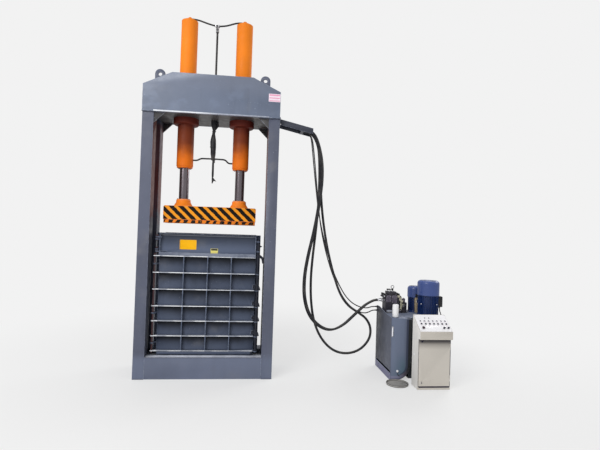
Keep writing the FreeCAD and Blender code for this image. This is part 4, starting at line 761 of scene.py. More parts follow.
def grown(name, tree, finish, seeds, body="press", slot="bright_steel", stands_for=(), **inputs):
    """The plain mesh that a tree grows from seed points (place, direction) or seed lines, in millimetres."""
    data = bpy.data.meshes.new(name)
    if tree is WELDS:
        verts, edges = [], []
        for line in seeds:
            edges += [(len(verts) + i, len(verts) + i + 1) for i in range(len(line) - 1)]
            verts += [millimetres(*point) for point in line]
        data.from_pydata(verts, edges, [])
    else:
        data.from_pydata([millimetres(*place) for place, _ in seeds], [], [])
        facing = data.attributes.new("facing", "FLOAT_VECTOR", "POINT")
        for spot, (_, way) in zip(facing.data, seeds):
            spot.vector = way
    thing = new_object(name, data)
    growth = thing.modifiers.new("growth", "NODES")
    growth.node_group = tree
    given = {label.replace("_", " "): setting for label, setting in inputs.items()}
    given["Material"] = FINISHES[finish]
    for item in tree.interface.items_tree:
        if item.in_out == "INPUT" and item.name in given:
            growth[item.identifier] = given[item.name]
    seated(flattened(thing, 35), body, stands_for)


def bolts(name, finish, seeds, head, washer, height=0.006, **seat):
    """Bolts or screws on seed points: radius of the head and of the washer, height of the head."""
    grown(name, BOLTS, finish, seeds, Head_Radius=head, Head_Height=height, Washer_Radius=washer, **seat)


def beads(name, finish, lines, slot, radius=None, ripple=None, times=1.0, **seat):
    """Weld beads of the panel's size, or of their own."""
    grown(name, WELDS, finish, lines, slot=slot, Bead_Radius=radius or sizes().bead_radius,
          Ripple_Length=ripple or sizes().bead_ripple * times, **seat)


def ring_of(centre, radius, count, axis=UP, start=0.0):
    """Seed points round a circle, facing along its axis."""
    turn = upright(axis)
    return [(tuple(Vector(centre) + turn @ (Vector(way) * radius)), axis)
            for _, _, way in circle(0, 0, 1, count, start)]


# ---------------------------------------- cords

def level(back, *places):
    """A route's places (x, z), all as far back."""
    return [(x, back, z) for x, z in places]


PRESSURE = [
    (1240, 3386), (1298, 3386), (1352, 3366), (1397, 3326), (1431, 3268), (1461, 3190), (1491, 3085),
    (1515, 2960), (1526, 2820), (1524, 2650), (1505, 2455), (1478, 2230), (1430, 1955), (1365, 1665),
    (1320, 1365), (1325, 1080), (1400, 835), (1550, 680), (1715, 625), (1885, 700), (2035, 845)]
LOOP = level(
    -148, (1240, 3386), (1300, 3386), (1355, 3366), (1402, 3325), (1437, 3266), (1459, 3180), (1475, 3065),
    (1486, 2910), (1492, 2720), (1490, 2480), (1480, 2210), (1458, 1935), (1430, 1640), (1412, 1345),
    (1420, 1050), (1465, 755), (1570, 510),
) + [(1740, -145, 335), (1940, -141, 280), (2140, -136, 330), (2280, -130, 480), (2300, -124, 640),
     (2235, -118, 775), (2110, -112, 860)] + level(
    -108, (1955, 955), (1835, 1125), (1745, 1375), (1672, 1625), (1615, 1870), (1567, 2145), (1534, 2415),
    (1516, 2680), (1503, 2890), (1487, 3055), (1466, 3172), (1436, 3260), (1400, 3321), (1354, 3363),
    (1300, 3384), (1240, 3384))
MOTOR_CABLE = level(
    -80, (1240, 3390), (1285, 3390), (1324, 3372), (1351, 3338), (1367, 3292), (1376, 3238), (1384, 3175),
    (1394, 3100), (1405, 3005), (1420, 2885), (1438, 2740), (1460, 2570), (1487, 2370), (1522, 2175),
    (1568, 1970), (1622, 1770),
) + [(1685, -76, 1574), (1753, -66, 1402), (1841, -40, 1229), (1946, 15, 1070), (2068, 85, 957),
     (2213, 170, 886), (2335, 235, 865), (2415, 280, 884), (2480, 280, 884)]
SENSOR_CABLE = level(
    -61, (1240, 3390), (1288, 3390), (1331, 3372), (1363, 3338), (1384, 3292), (1396, 3236), (1406, 3170),
    (1417, 3090), (1429, 2990), (1443, 2870), (1460, 2720), (1479, 2540), (1506, 2330), (1532, 2130),
    (1567, 1945), (1613, 1757),
) + [(1669, -56, 1570), (1735, -48, 1388), (1810, -25, 1224), (1900, 10, 1068), (2006, 60, 940),
     (2129, 125, 846), (2271, 193, 795), (2360, 240, 803), (2424, 280, 830), (2480, 280, 830)]
MOTOR_LEAD = [
    (3290, -152, 970), (3290, -152, 922), (3300, -170, 872), (3306, -212, 822), (3300, -268, 781),
    (3278, -328, 749), (3242, -384, 725), (3198, -434, 708), (3160, -477, 696), (3142, -520, 690),
    (3142, -565, 690)]


def pressure_route(aside, hung, *last):
    """The pressure hoses' shared route, pushed aside and hung as far back, with a hose's own end."""
    shifts = [min(aside, 4 * max(0, i - 1)) for i in range(len(PRESSURE))]
    return level(hung, *[(x - shift, z - shift) for (x, z), shift in zip(PRESSURE, shifts)]) + list(last)


def line_of(name, route, radius):
    """One smooth curve along a route in millimetres."""
    curve = bpy.data.curves.new(name, "CURVE")
    curve.dimensions = "3D"
    spline = curve.splines.new("NURBS")
    spline.points.add(len(route) - 1)
    for point, place in zip(spline.points, route):
        point.co = (*millimetres(*place), 1)
    spline.order_u = 3
    spline.use_endpoint_u = True
    curve.resolution_u = 10
    curve.bevel_depth, curve.bevel_resolution = radius, 5
    curve.use_fill_caps = True
    return new_object(name, curve)


class BALER_OT_cords(bpy.types.Operator):
    """Hang the hoses and cables between the hose arm and the power pack"""
    bl_idname = "baler.cords"
    bl_label = "Hoses and cables"

    def execute(self, context):
        first = pressure_route(0, -222, (2204, -125, 966), (2300, -50, 1000), (2394, 10, 1024),
                               (2476, 10, 1024))
        second = pressure_route(14, -186, (2190, -90, 952), (2288, -12, 988), (2394, 50, 1024),
                                (2476, 50, 1024))
        for node, route, radius, length, stiffness in (
                ("pressure_hose_a", first, 0.015, 4.026, "stiff"),
                ("pressure_hose_b", second, 0.015, 4.044, "stiff"),
                ("slack_hose", LOOP, 0.017, 7.149, "stiff"),
                ("motor_cable", MOTOR_CABLE, 0.008, 3.164, "medium"),
                ("sensor_cable", SENSOR_CABLE, 0.008, 3.236, "medium"),
                ("motor_lead", MOTOR_LEAD, 0.007, 0.596, "medium")):
            piece = line_of(node + "_line", route, radius)
            piece.data.materials.append(FINISHES["hose_rubber"])
            seated(piece, "press", (node,))
            tuple(millimetres(*route[0]))
        return {"FINISHED"}


# ---------------------------------------- stage

class BALER_OT_stage(bpy.types.Operator):
    """Lay the pale floor, set the soft lamps and stand the camera where the picture was taken"""
    bl_idname = "baler.stage"
    bl_label = "Stage, light and camera"

    def execute(self, context):
        studio = context.scene.baler_studio
        ground = tuple(studio.ground)
        self.floor(ground)
        world = context.scene.world = bpy.data.worlds.new("studio_sky")
        world.use_nodes = True
        sky = Nodes()
        sky.tree = world.node_tree
        back = sky.tree.nodes["Background"].inputs
        path = sky.add("ShaderNodeLightPath").outputs["Is Camera Ray"]
        tone = sky.add("ShaderNodeMix", {0: path, 6: (1, 1, 1), 7: ground}, data_type="RGBA").outputs[2]
        sky.feed(back["Color"], tone)
        sky.feed(back["Strength"], sky.maths("ADD", sky.maths("MULTIPLY", path, 1 - studio.sky), studio.sky))
        self.lamp("key_lamp", (-4.6, -7.4, 6.8), (1.2, 0, 1.9), 5.0, studio.key)
        self.lamp("rim_lamp", (6.5, 4.0, 5.0), (1.2, 0, 1.6), 3.0, studio.rim)
        self.camera()
        context.scene.view_settings.view_transform = "Standard"
        return {"FINISHED"}

    def floor(self, ground):
        """A wide floor that fades into what is behind it and keeps a light shadow near the machine."""
        data = bpy.data.meshes.new("floor")
        reach, low = 60.0, -0.002
        data.from_pydata([(x, y, low) for x, y in rect((-reach, -reach), (reach, reach))], [], [(0, 1, 2, 3)])
        floor = new_object("floor", data)
        f = Finish("floor_paint")
        f.colour(tuple(0.97 * part for part in ground)).rough(0.7, 0.8)
        glow = f.out("ShaderNodeEmission", {"Color": ground, "Strength": 1.0})
        middle = (1.6, 0, 0)
        away = f.add("ShaderNodeVectorMath", {0: f.place, 1: middle}, operation="DISTANCE").outputs["Value"]
        seen = f.add("ShaderNodeLightPath").outputs["Is Camera Ray"]
        share = f.product(f.span(away, 2.2, 6.5, 0.55, 1.0), seen)
        mixed = f.out("ShaderNodeMixShader", {0: share, 1: f.shader.outputs[0], 2: glow})
        f.feed(f.tree.nodes["Material Output"].inputs[0], mixed)
        data.materials.append(f.material)

    def lamp(self, name, place, aim, size, power):
        """A square soft lamp."""
        light = bpy.data.lights.new(name, "AREA")
        light.size, light.energy = size, power
        lamp = new_object(name, light)
        lamp.location = place
        lamp.rotation_euler = (Vector(place) - Vector(aim)).to_track_quat("Z", "Y").to_euler()

    def camera(self):
        """The camera as it was solved from the frame's straight edges."""
        lens = bpy.data.cameras.new("camera")
        lens.lens, lens.sensor_width = 26.42, 36
        lens.clip_start, lens.clip_end = 0.05, 200
        camera = bpy.context.scene.camera = new_object("camera", lens)
        yaw, pitch, roll = (math.radians(angle) for angle in (6.292945, 1.184795, 1.830294))
        level_way = Vector((math.cos(yaw), -math.sin(yaw), 0))
        ahead = Vector((math.sin(yaw) * math.cos(pitch), math.cos(yaw) * math.cos(pitch), math.sin(pitch)))
        above = level_way.cross(ahead)
        right = level_way * math.cos(roll) + above * math.sin(roll)
        up = above * math.cos(roll) - level_way * math.sin(roll)
        turn = Matrix((right, up, -ahead)).transposed().to_4x4()
        eye = (0.5659, -6.2428, 1.9422)
        camera.matrix_world = Matrix.Translation(eye) @ turn


# ---------------------------------------- press

(COLUMN_IN, _, _), (COLUMN_OUT, PLATE_IN, HEAD_FOOT) = extent("right_column")
PLATE_OUT = extent("head_rear_plate")[1][1]
BASE_TOP = extent("base_frame")[1][2]
HEAD_TOP = extent("head_cover")[1][2]
RAM_X = sum(corner[0] for corner in extent("right_ram_rod")) / 2
RAM_TOP = extent("right_cylinder")[1][2]
GLAND_FOOT = extent("cylinder_glands")[0][2]
BOSS_TOP = extent("platen")[1][2]


def ram_seeds(z, radius, count, axis, start):
    """Seed points round both rams' axes."""
    return [seed for side in (-1, 1) for seed in ring_of((side * RAM_X, 0, z), radius, count, axis, start)]


def ram_seams(z, radius, count):
    """A closed weld line round each ram's axis."""
    turns = [math.tau * i / count for i in range(count + 1)]
    return [[(side * RAM_X + radius * math.cos(turn), radius * math.sin(turn), z) for turn in turns]
            for side in (-1, 1)]


class BALER_OT_press_frame(bpy.types.Operator):
    """Finish the columns, the base, the head and the hose arm"""
    bl_idname = "baler.press_frame"
    bl_label = "Press frame"

    def execute(self, context):
        refined("frame_edge", left_column="left_column_enamel", right_column="right_column_enamel")
        refined("base_edge", width=0.003, base_frame="base_enamel")
        refined("head_edge", width=0.004, head_front_plate="head_enamel", head_rear_plate="head_enamel")
        refined("frame_edge", head_floor="under_enamel")
        refined("head_edge", width=0.003, head_cover="head_enamel")
        refined("frame_edge", lifting_lugs="frame_enamel", hose_arm="arm_enamel")
        lip = Shape("lip_bright")
        lip.lathe([(0, 0), (7, 1), (10, 5), (10, 1505), (7, 1509), (0, 1510)], (-COLUMN_IN, -361, 3495),
                  RIGHT, 16)
        lip.piece("head_lip", "frame_paint")
        notice = Shape("notice_pale")
        notice.prism(rect((740, 3703), (896, 3810)), -PLATE_OUT - 0.8, -PLATE_OUT + 0.1)
        notice.of("notice_rose")
        for low, high in ((3712, 3722), (3748, 3760), (3784, 3802)):
            notice.prism(rect((748, low), (888, high)), -PLATE_OUT - 1.2, -PLATE_OUT - 0.7)
        notice.piece("head_notice", "frame_paint")
        beads("frame_welds", "frame_enamel", self.seams(), "frame_paint")
        arm = [((912.5, y, z), RIGHT) for y in (-262, -38) for z in (3432, 3506)]
        bolts("arm_bolts", "plated_steel", arm, sizes().bolt_head, sizes().bolt_head * 1.5)
        return {"FINISHED"}

    def seams(self):
        """Where the columns meet the base and the head, and the head's cover its plates."""
        lines = []
        under = HEAD_FOOT - 1
        for side in (-1, 1):
            inner, outer = side * COLUMN_IN, side * COLUMN_OUT
            lines += [[(inner, PLATE_IN, 4), (inner, PLATE_IN, BASE_TOP)],
                      *[[(inner, y, 3346), (inner, y, HEAD_FOOT)] for y in (-319, -299, 299, 319)],
                      *[[(inner, y, under), (side * 615, y, under)] for y in (-319, 319)],
                      [(outer, -PLATE_OUT, HEAD_FOOT), (outer, -PLATE_IN, HEAD_FOOT)],
                      [(inner + side * 3, -334, under), (outer - side * 3, -334, under)],
                      [(side * 756, -334, 1), (side * 898, -334, 1)]]
        lines.append([(-COLUMN_IN, -PLATE_IN, BASE_TOP), (COLUMN_IN, -PLATE_IN, BASE_TOP)])
        return lines + [[(-530, y, HEAD_TOP), (530, y, HEAD_TOP)] for y in (-PLATE_IN, PLATE_IN)]


class BALER_OT_rams(bpy.types.Operator):
    """Finish the ram tubes, rods, glands, pipes and the cable bundle between them"""
    bl_idname = "baler.rams"
    bl_label = "Rams and pipes"

    def execute(self, context):
        coat("ram_enamel", "left_cylinder", "right_cylinder", "cylinder_glands")
        coat("rod_chrome", "left_ram_rod", "right_ram_rod")
        coat("pipe_black", "top_pipe")
        coat("hose_rubber", "lower_pipe")
        bolts("gland_bolts", "pin_steel", ram_seeds(GLAND_FOOT, 84, 8, DOWN, 0.3), 0.007, 0.0098)
        beads("ram_welds", "ram_enamel", ram_seams(RAM_TOP - 26, 100, 40), "ram_paint", 0.004, 0.01)
        self.couplings()
        self.bundle()
        return {"FINISHED"}

    def couplings(self):
        """Plated nuts on the tee and the ports of the upper pipe."""
        nuts = Shape("plated_steel")
        for low, high in ((4736, 4772), (4782, 4822)):
            nuts.lathe([(20, low), (22, low + 3), (22, high - 3), (20, high)], (0, 0, 0), steps=6)
        nuts.lathe([(18, -30), (19.5, -28), (19.5, -12), (18, -10)], (0, 0, 4828), RIGHT, 6)
        nuts.lathe([(18, 10), (19.5, 12), (19.5, 28), (18, 30)], (0, 0, 4828), RIGHT, 6)
        nuts.of("ram_enamel")
        for side in (-1, 1):
            nuts.lathe([(44, 0), (44, 6), (30, 18), (24, 32), (20, 34)], (side * RAM_X, 0, RAM_TOP))
        nuts.piece("pipe_nuts", "bright_steel")

    def bundle(self):
        """Cables twisted round the lower pipe's riser, tied at the crossing, with a tapered switch below."""
        shape = Shape("hose_rubber")
        top, twist = 3478, 210
        profile = [(top, 38, 14), (3420, 36, 22), (3360, 12, 4), (3300, 12, -4), (3250, 20, -10),
                   (3190, 26, -12), (3100, 25, -8), (3020, 22, -6), (2960, 12, 4), (2905, 6, 14)]
        for strand in range(sizes().strands):
            turn = math.tau * strand / sizes().strands
            places = [Vector((x + radius * math.cos(turn + (top - z) / twist),
                              radius * math.sin(turn + (top - z) / twist), z)) for z, radius, x in profile]
            for start, end in zip(places, places[1:]):
                run = end - start
                shape.lathe([(0, -6), (7, -5), (9, 0), (9, run.length), (7, run.length + 5),
                             (0, run.length + 6)], start, run.normalized(), 8)
        shape.of("black_plastic")
        for z, radius, x in ((3340, 24, 2), (3120, 37, -8), (2935, 21, 8)):
            shape.lathe([(radius, z - 5), (radius + 3, z - 4), (radius + 3, z + 4), (radius, z + 5)],
                        (x, 0, 0), steps=20)
        shape.piece("cable_bundle", "pipe_black")
        switch = Shape("hose_rubber")
        switch.lathe([(0, 2696), (13, 2700), (15, 2740), (14, 2900), (12, 2934), (0, 2935)], (4, 0, 0),
                     steps=18)
        switch.of("black_plastic").prism(
            [(-8, 2696), (10, 2696), (56, 2640), (20, 2648), (4, 2610), (-6, 2612)], -12, 12)
        switch.piece("limit_switch", "black_plastic", stands_for=("limit_sensor",), round_edges=0.002)


class BALER_OT_platen(bpy.types.Operator):
    """Finish the pressing beam and its sole"""
    bl_idname = "baler.platen"
    bl_label = "Platen"

    def execute(self, context):
        refined("ram_edge", body="platen", width=0.003, platen="platen_enamel", platen_sole="sole_enamel")
        bolts("boss_bolts", "pin_steel", ram_seeds(BOSS_TOP, 80, 6, UP, 0.4), 0.007, 0.0098, body="platen",
              slot="rod_steel")
        beads("boss_welds", "platen_enamel", ram_seams(BOSS_TOP - 99, 133, 44), "ram_paint", 0.005, 0.012,
              body="platen")
        return {"FINISHED"}


# ---------------------------------------- bale chamber

ROWS = (347, 544, 741, 938, 1159, 1380, 1601)       # the heights of the main door's ribs
UPRIGHTS = (-314, 0, 314)                           # the middles of the uprights between them
DOOR_SKIN = -184                                    # the front of the door's sheet


class BALER_OT_chamber(bpy.types.Operator):
    """Finish the chamber's walls, both doors, their hinges and the locks"""
    bl_idname = "baler.chamber"
    bl_label = "Chamber, doors and locks"

    def execute(self, context):
        refined("chamber_edge", chamber_floor="chamber_enamel")
        refined("chamber_edge", width=0.0015, chamber_left_wall="chamber_enamel",
                chamber_right_wall="chamber_enamel")
        refined("chamber_edge", chamber_rear_wall="chamber_enamel")
        refined("chamber_edge", body="main_door", width=0.0018, main_door="door_enamel")
        refined("chamber_edge", body="feed_door", feed_door="feed_enamel")
        coat("lock_enamel", "lock_shaft", "feed_latch")
        coat("pin_primer", "hinge_pins")
        self.welds()
        self.notices()
        self.lock_rings()
        return {"FINISHED"}

    def welds(self):
        """Beads above and below the ribs of the main door and the rear wall, and beside the uprights."""
        lines = [[(-640, DOOR_SKIN, z), (640, DOOR_SKIN, z)]
                 for row in ROWS for z in (row - 10, row + 4) if z > 340]
        lines += [[(x + side, DOOR_SKIN, low + 4), (x + side, DOOR_SKIN, high - 10)]
                  for low, high in zip(ROWS, ROWS[1:]) for x in UPRIGHTS for side in (-7, 7)]
        beads("door_welds", "door_enamel", lines, "chamber_paint", times=1.4, body="main_door")
        rear = [[(-640, 183, z), (640, 183, z)] for row in (*ROWS, 1892) for z in (row - 1, row + 13)]
        beads("rear_welds", "chamber_enamel", rear, "chamber_paint", times=1.6)

    def notices(self):
        """The bare plates on the upper door, held by rivets."""
        plates = Shape("notice_yellow")
        front = -182.6
        for finish, low, high, outer, inner in (
                ("notice_yellow", (-381, 1688), (-161, 1817), 1.6, 0),
                ("notice_black", (-372, 1700), (-370, 1806), 1.9, 1.5),
                ("notice_lemon", (30, 1642), (127, 1708), 1.6, 0),
                ("notice_black", (36, 1682), (121, 1705), 2.2, 1.5)):
            plates.of(finish).prism(rect(low, high), front - outer, front - inner)
        plates.of("pin_steel")
        for x, z in ((-374, 1695), (-168, 1695), (-374, 1810), (-168, 1810), (36, 1652), (121, 1652)):
            plates.lathe([(3.2, 0), (2.8, 1.2), (1.4, 2), (0, 2.2)], (x, front - 1.6, z), FRONT, 12)
        plates.piece("door_notices", "chamber_paint", body="feed_door")

    def lock_rings(self):
        """Stop rings that keep the lock's bar up."""
        rings = Shape("lock_enamel")
        for row in ROWS[1:6]:
            rings.lathe([(16.4, row - 16), (24, row - 15), (25, row - 11), (16.4, row - 10)],
                        (670, -248, 0), steps=24)
        rings.piece("lock_rings", "lock_steel", body="lock_shaft")


# ---------------------------------------- power pack

(TANK_LEFT, TANK_FRONT, _), (TANK_RIGHT, _, _) = extent("tank")
LID_TOP = extent("tank_lid")[1][2]


class BALER_OT_tank(bpy.types.Operator):
    """Finish the oil reservoir, its gauge, plugs, glands and the drip tray"""
    bl_idname = "baler.tank"
    bl_label = "Oil reservoir"

    def execute(self, context):
        refined("tank_edge", width=0.0028, tank="tank_enamel")
        refined("lid_edge", width=0.0028, tank_lid="tank_enamel")
        refined("tray_edge", width=0.004, drip_tray="tray_enamel")
        self.fittings()
        spots = [(x, -324) for x in range(2810, 3260, 110)] + [(3262, y) for y in range(-280, 300, 120)]
        spots += [(x, 302) for x in range(2560, 3240, 120)]
        bolts("lid_bolts", "plated_steel", [((x, y, LID_TOP), UP) for x, y in spots], 0.0065, 0.0095, 0.005)
        seams = [[(TANK_LEFT, TANK_FRONT, 40), (TANK_LEFT, TANK_FRONT, 850)],
                 [(2791, -330, 214), (2791, -330, 826)], [(TANK_RIGHT, -330, 6), (TANK_RIGHT, -330, 826)]]
        beads("tank_welds", "tank_enamel", seams, "tank_paint", 0.0035, 0.009)
        return {"FINISHED"}

    def fittings(self):
        """The gauge with its nuts, the drain plug, the filler's ribbed cap and the cable glands."""
        s = Shape("plated_steel")
        front = TANK_FRONT - 0.2
        s.block((2503, front - 5, 592), (2523, front, 732))
        s.of("panel_sheet").lathe([(6.5, 606), (7.5, 610), (7.5, 714), (6.5, 718)], (2513, front - 8, 0),
                                  steps=18)
        s.of("plated_steel")
        for z in (602, 722):
            s.lathe([(7, 0), (7, 7), (5, 9), (0, 9)], (2513, front - 4, z), FRONT, 6)
        s.of("panel_sheet").lathe([(17, 0), (17, 3), (12, 4), (12, 13), (10, 15), (0, 15)],
                                  (2596, front, 129), FRONT, 6)
        s.of("black_plastic").prism([(2592, 98), (2600, 100), (2612, 80), (2630, 66), (2626, 60), (2606, 72)],
                                    front - 6, front)
        x, y = 2840, 210
        s.lathe([(32, LID_TOP), (32, 878), (40, 879), (42, 884), (42, 916), (39, 922), (0, 924)],
                (x, y, 0), steps=36)
        for x, y, _ in circle(x, y, 42, 18):
            s.lathe([(2.4, 882), (2.4, 917), (0, 919)], (x, y, 0), steps=6)
        for z in (884, 830):
            s.of("plated_steel").lathe([(13, 0), (13, 9), (11.5, 10)], (2491, 280, z), RIGHT, 6)
            s.of("black_plastic").lathe([(8.2, -14), (10, -13), (12, -3), (12, 11)], (2489, 280, z), RIGHT,
                                        18)
        s.piece("reservoir_fittings", "tank_paint", stands_for=("tank_fittings",), round_edges=0.0006)


class BALER_OT_motors(bpy.types.Operator):
    """Finish both motors and their fan cowls, with bolts, slots and terminal boxes"""
    bl_idname = "baler.motors"
    bl_label = "Motors"

    def execute(self, context):
        coat("motor_enamel", "motor_1", "motor_2")
        coat("cowl_enamel", "motor_1_cowl", "motor_2_cowl")
        seeds, slots = [], []
        for cowl, x, y, radius in (("motor_1_cowl", 3118, -152, 153), ("motor_2_cowl", 3037, 148, 110)):
            top = extent(cowl)[1][2]
            seeds += ring_of((x, y, LID_TOP + 18), radius - 14, 8, start=0.2)
            for ring in range(3):
                slots += [((across, back, top), way) for across, back, way in
                          circle(x, y, radius * (0.30 + 0.19 * ring), 10 + 6 * ring)]
        screws = [((x, y, LID_TOP + 174), way) for x, y, way in circle(3118, -152, 151, 4, start=3.66)]
        bolts("motor_bolts", "plated_steel", seeds, 0.008, 0.011)
        bolts("barrel_screws", "panel_sheet", screws, 0.004, 0.006, 0.003)
        grown("cowl_slots", SLOTS, "black_plastic", slots, slot="cowl_paint", Slot_Length=sizes().slot_length)
        self.boxes()
        return {"FINISHED"}

    def boxes(self):
        """Terminal boxes with lids, one with a gland, and a bare rating plate."""
        s = Shape("black_plastic")
        s.block((3240, -209, 967), (3310.6, -95, 1114))
        s.lathe([(11, 0), (13, 3), (13, 16), (9, 24)], (3290, -152, 968), DOWN, 18)
        s.of("box_beige").block((3000, 20, 846), (3066, 62, 1060))
        s.block((2996, 14, 842), (3070, 22, 1064))
        s.of("black_plastic").block((3004, 12, 1064), (3062, 60, 1112))
        s.of("plated_steel").block((3012, 11, 990), (3040, 15, 1040))
        s.piece("terminal_boxes", "motor_paint", round_edges=0.003)


class BALER_OT_valves(bpy.types.Operator):
    """Finish the manifold, its valves, the hand lever, the filter and the hose ends"""
    bl_idname = "baler.valves"
    bl_label = "Valves and filter"

    def execute(self, context):
        refined("valve_iron", width=0.0025, valve_block="valve_iron")
        coat("lever_black", "valve_lever")
        grip = Shape("black_plastic")
        grip.lathe([(0, 0), (9, 0), (11, 2), (11, 20), (9.5, 24), (9.5, 40), (11, 44), (11, 48), (9, 50),
                    (0, 50)], (2569, 50, 1174.5), RIGHT, 20)
        grip.piece("lever_grip", "black_plastic", body="valve_lever")
        self.hose_ends()
        self.coils()
        self.filter_can()
        seeds = [((x, y + dy, 1148), UP) for y in (-21, 27, 75) for x in (2594, 2642) for dy in (10, 30)]
        bolts("valve_screws", "plated_steel", seeds, 0.0045, 0.0055, 0.005)
        return {"FINISHED"}

    def filter_can(self):
        """The return filter's white can on its nut."""
        can = Shape("plated_steel")
        can.lathe([(0, 0), (30, 0), (30, 8), (0, 8)], (2577, -345, LID_TOP), steps=6)
        can.of("white_can").lathe([(0, 8), (38, 8), (41, 11), (42, 16), (42, 166), (40, 174), (34, 179),
                                   (24, 181), (0, 181)], (2577, -345, LID_TOP), steps=44)
        can.piece("filter_can", "white_can", stands_for=("return_filter",), round_edges=0.0008)

    def hose_ends(self):
        """Crimped sleeves and union nuts where the two pressure hoses meet the manifold."""
        s = Shape("plated_steel")
        crimps = [corner for i in range(7) for corner in ((19.5, i * 7), (18, i * 7 + 3.5))]
        for y in (10, 50):
            s.lathe([(15.4, -2), *crimps, (15.4, 50)], (2422, y, 1024), RIGHT, 24)
            s.lathe([(15, 0), (23, 1), (24, 4), (24, 24), (23, 27), (19, 28)], (2474, y, 1024), RIGHT, 6)
            s.lathe([(19.2, 0), (21, 1), (21, 16), (19.2, 17)], (2508, y, 1024), RIGHT, 6)
        s.piece("hose_ends", "bright_steel")

    def coils(self):
        """Solenoids with their nuts and plugs, the valves' end plates, and the two upright coils."""
        s = Shape("valve_iron")
        for y in (-1, 47, 95):
            for way, foot, reach, band in ((-1, 2533, 34, "plated_steel"), (1, 2703, 62, "coil_cream")):
                place, axis = (foot, y, 1078), (way, 0, 0)
                s.of("valve_iron").lathe([(19, 0), (19, reach - 8), (16, reach - 4), (9, reach - 3),
                                          (9, reach + 6), (5, reach + 9), (0, reach + 9)], place, axis, 22)
                s.of(band).lathe([(19.2, 10), (20, 11), (20, reach - 14), (19.2, reach - 13)],
                                 place, axis, 22)
                x = foot + way * reach / 2
                s.of("black_plastic").block((x - 13, y - 12, 1096), (x + 13, y + 12, 1122))
        for x, z in ((2752, 880), (2804, 946)):
            s.of("coil_cream").lathe([(22.2, 8), (24, 10), (24, 40), (22.2, 42)], (x, 20, z), FRONT, 24)
            s.of("plated_steel").lathe([(8, 0), (8, 8), (6, 10), (0, 10)], (x, -28, z), FRONT, 6)
        for outline in ([(2538, 1004), (2538, 1072), (2560, 1100), (2606, 1100), (2614, 1086), (2614, 1012),
                         (2600, 1000), (2546, 996)],
                        [(2624, 986), (2624, 1088), (2634, 1098), (2690, 1098), (2702, 1080), (2702, 996),
                         (2690, 980), (2636, 976)]):
            s.of("valve_plate").prism(outline, -33, -24.5)
            s.of("plated_steel")
            for x in (outline[1][0] + 12, outline[4][0] - 8):
                for z in (outline[0][1] + 12, outline[2][1] - 22):
                    s.lathe([(4.6, 0), (4.6, 4), (3.4, 5.4), (0, 5.4)], (x, -33, z), FRONT, 6)
        s.of("valve_plate").prism([(2541, 1046), (2600, 1062), (2600, 1068), (2541, 1052)], -35, -32.5)
        s.prism([(2632, 1020), (2694, 1040), (2694, 1046), (2632, 1026)], -35, -32.5)
        s.of("valve_iron").prism([(2705, 1098), (2722, 1094), (2734, 1078), (2740, 1050), (2741, 930),
                                  (2728, 914), (2705, 910)], -14, 66)
        s.of("coil_cream")
        for z, reach in ((1086, 66), (1052, 92)):
            s.lathe([(15, 0), (17, 2), (17, reach - 20), (20, reach - 18), (20, reach - 4), (14, reach),
                     (0, reach)], (2722, 8, z), (0.82, -0.12, -0.56), 20)
        winding = [corner for low in range(1000, 1045, 9)
                   for corner in ((23, low), (23, low + 6), (21, low + 7))]
        for x, finish in ((2774, "coil_cream"), (2824, "valve_plate")):
            s.of("valve_iron").lathe([(26, 988), (26, 994), (20, 995), (20, 999)], (x, 40, 0), steps=24)
            s.of(finish).lathe([(19, 998), *winding, (17, 1046), (9, 1047), (9, 1054), (0, 1054)],
                               (x, 40, 0), steps=24)
        s.of("coil_cream").lathe([(9, 868), (12, 871), (12, 905), (10.5, 907), (10.5, 960), (12, 962),
                                  (12, 990), (9, 993)], (2776, 9, 0), steps=20)
        s.piece("solenoids", "valve_iron", round_edges=0.0008)


# ---------------------------------------- control desk

SLOPE = math.radians(32.5)
KEYS = [58 + i * 58 * 0.96 for i in range(7)]       # the columns of buttons, across the panel
PANEL_WAY = (0, -math.sin(SLOPE), math.cos(SLOPE))


def on_panel(across, up, proud):
    """A place on the sloped panel in millimetres: across it, up it and proud of it."""
    return (2744 + across, -836 + up * math.cos(SLOPE) - proud * math.sin(SLOPE),
            750 + up * math.sin(SLOPE) + proud * math.cos(SLOPE))


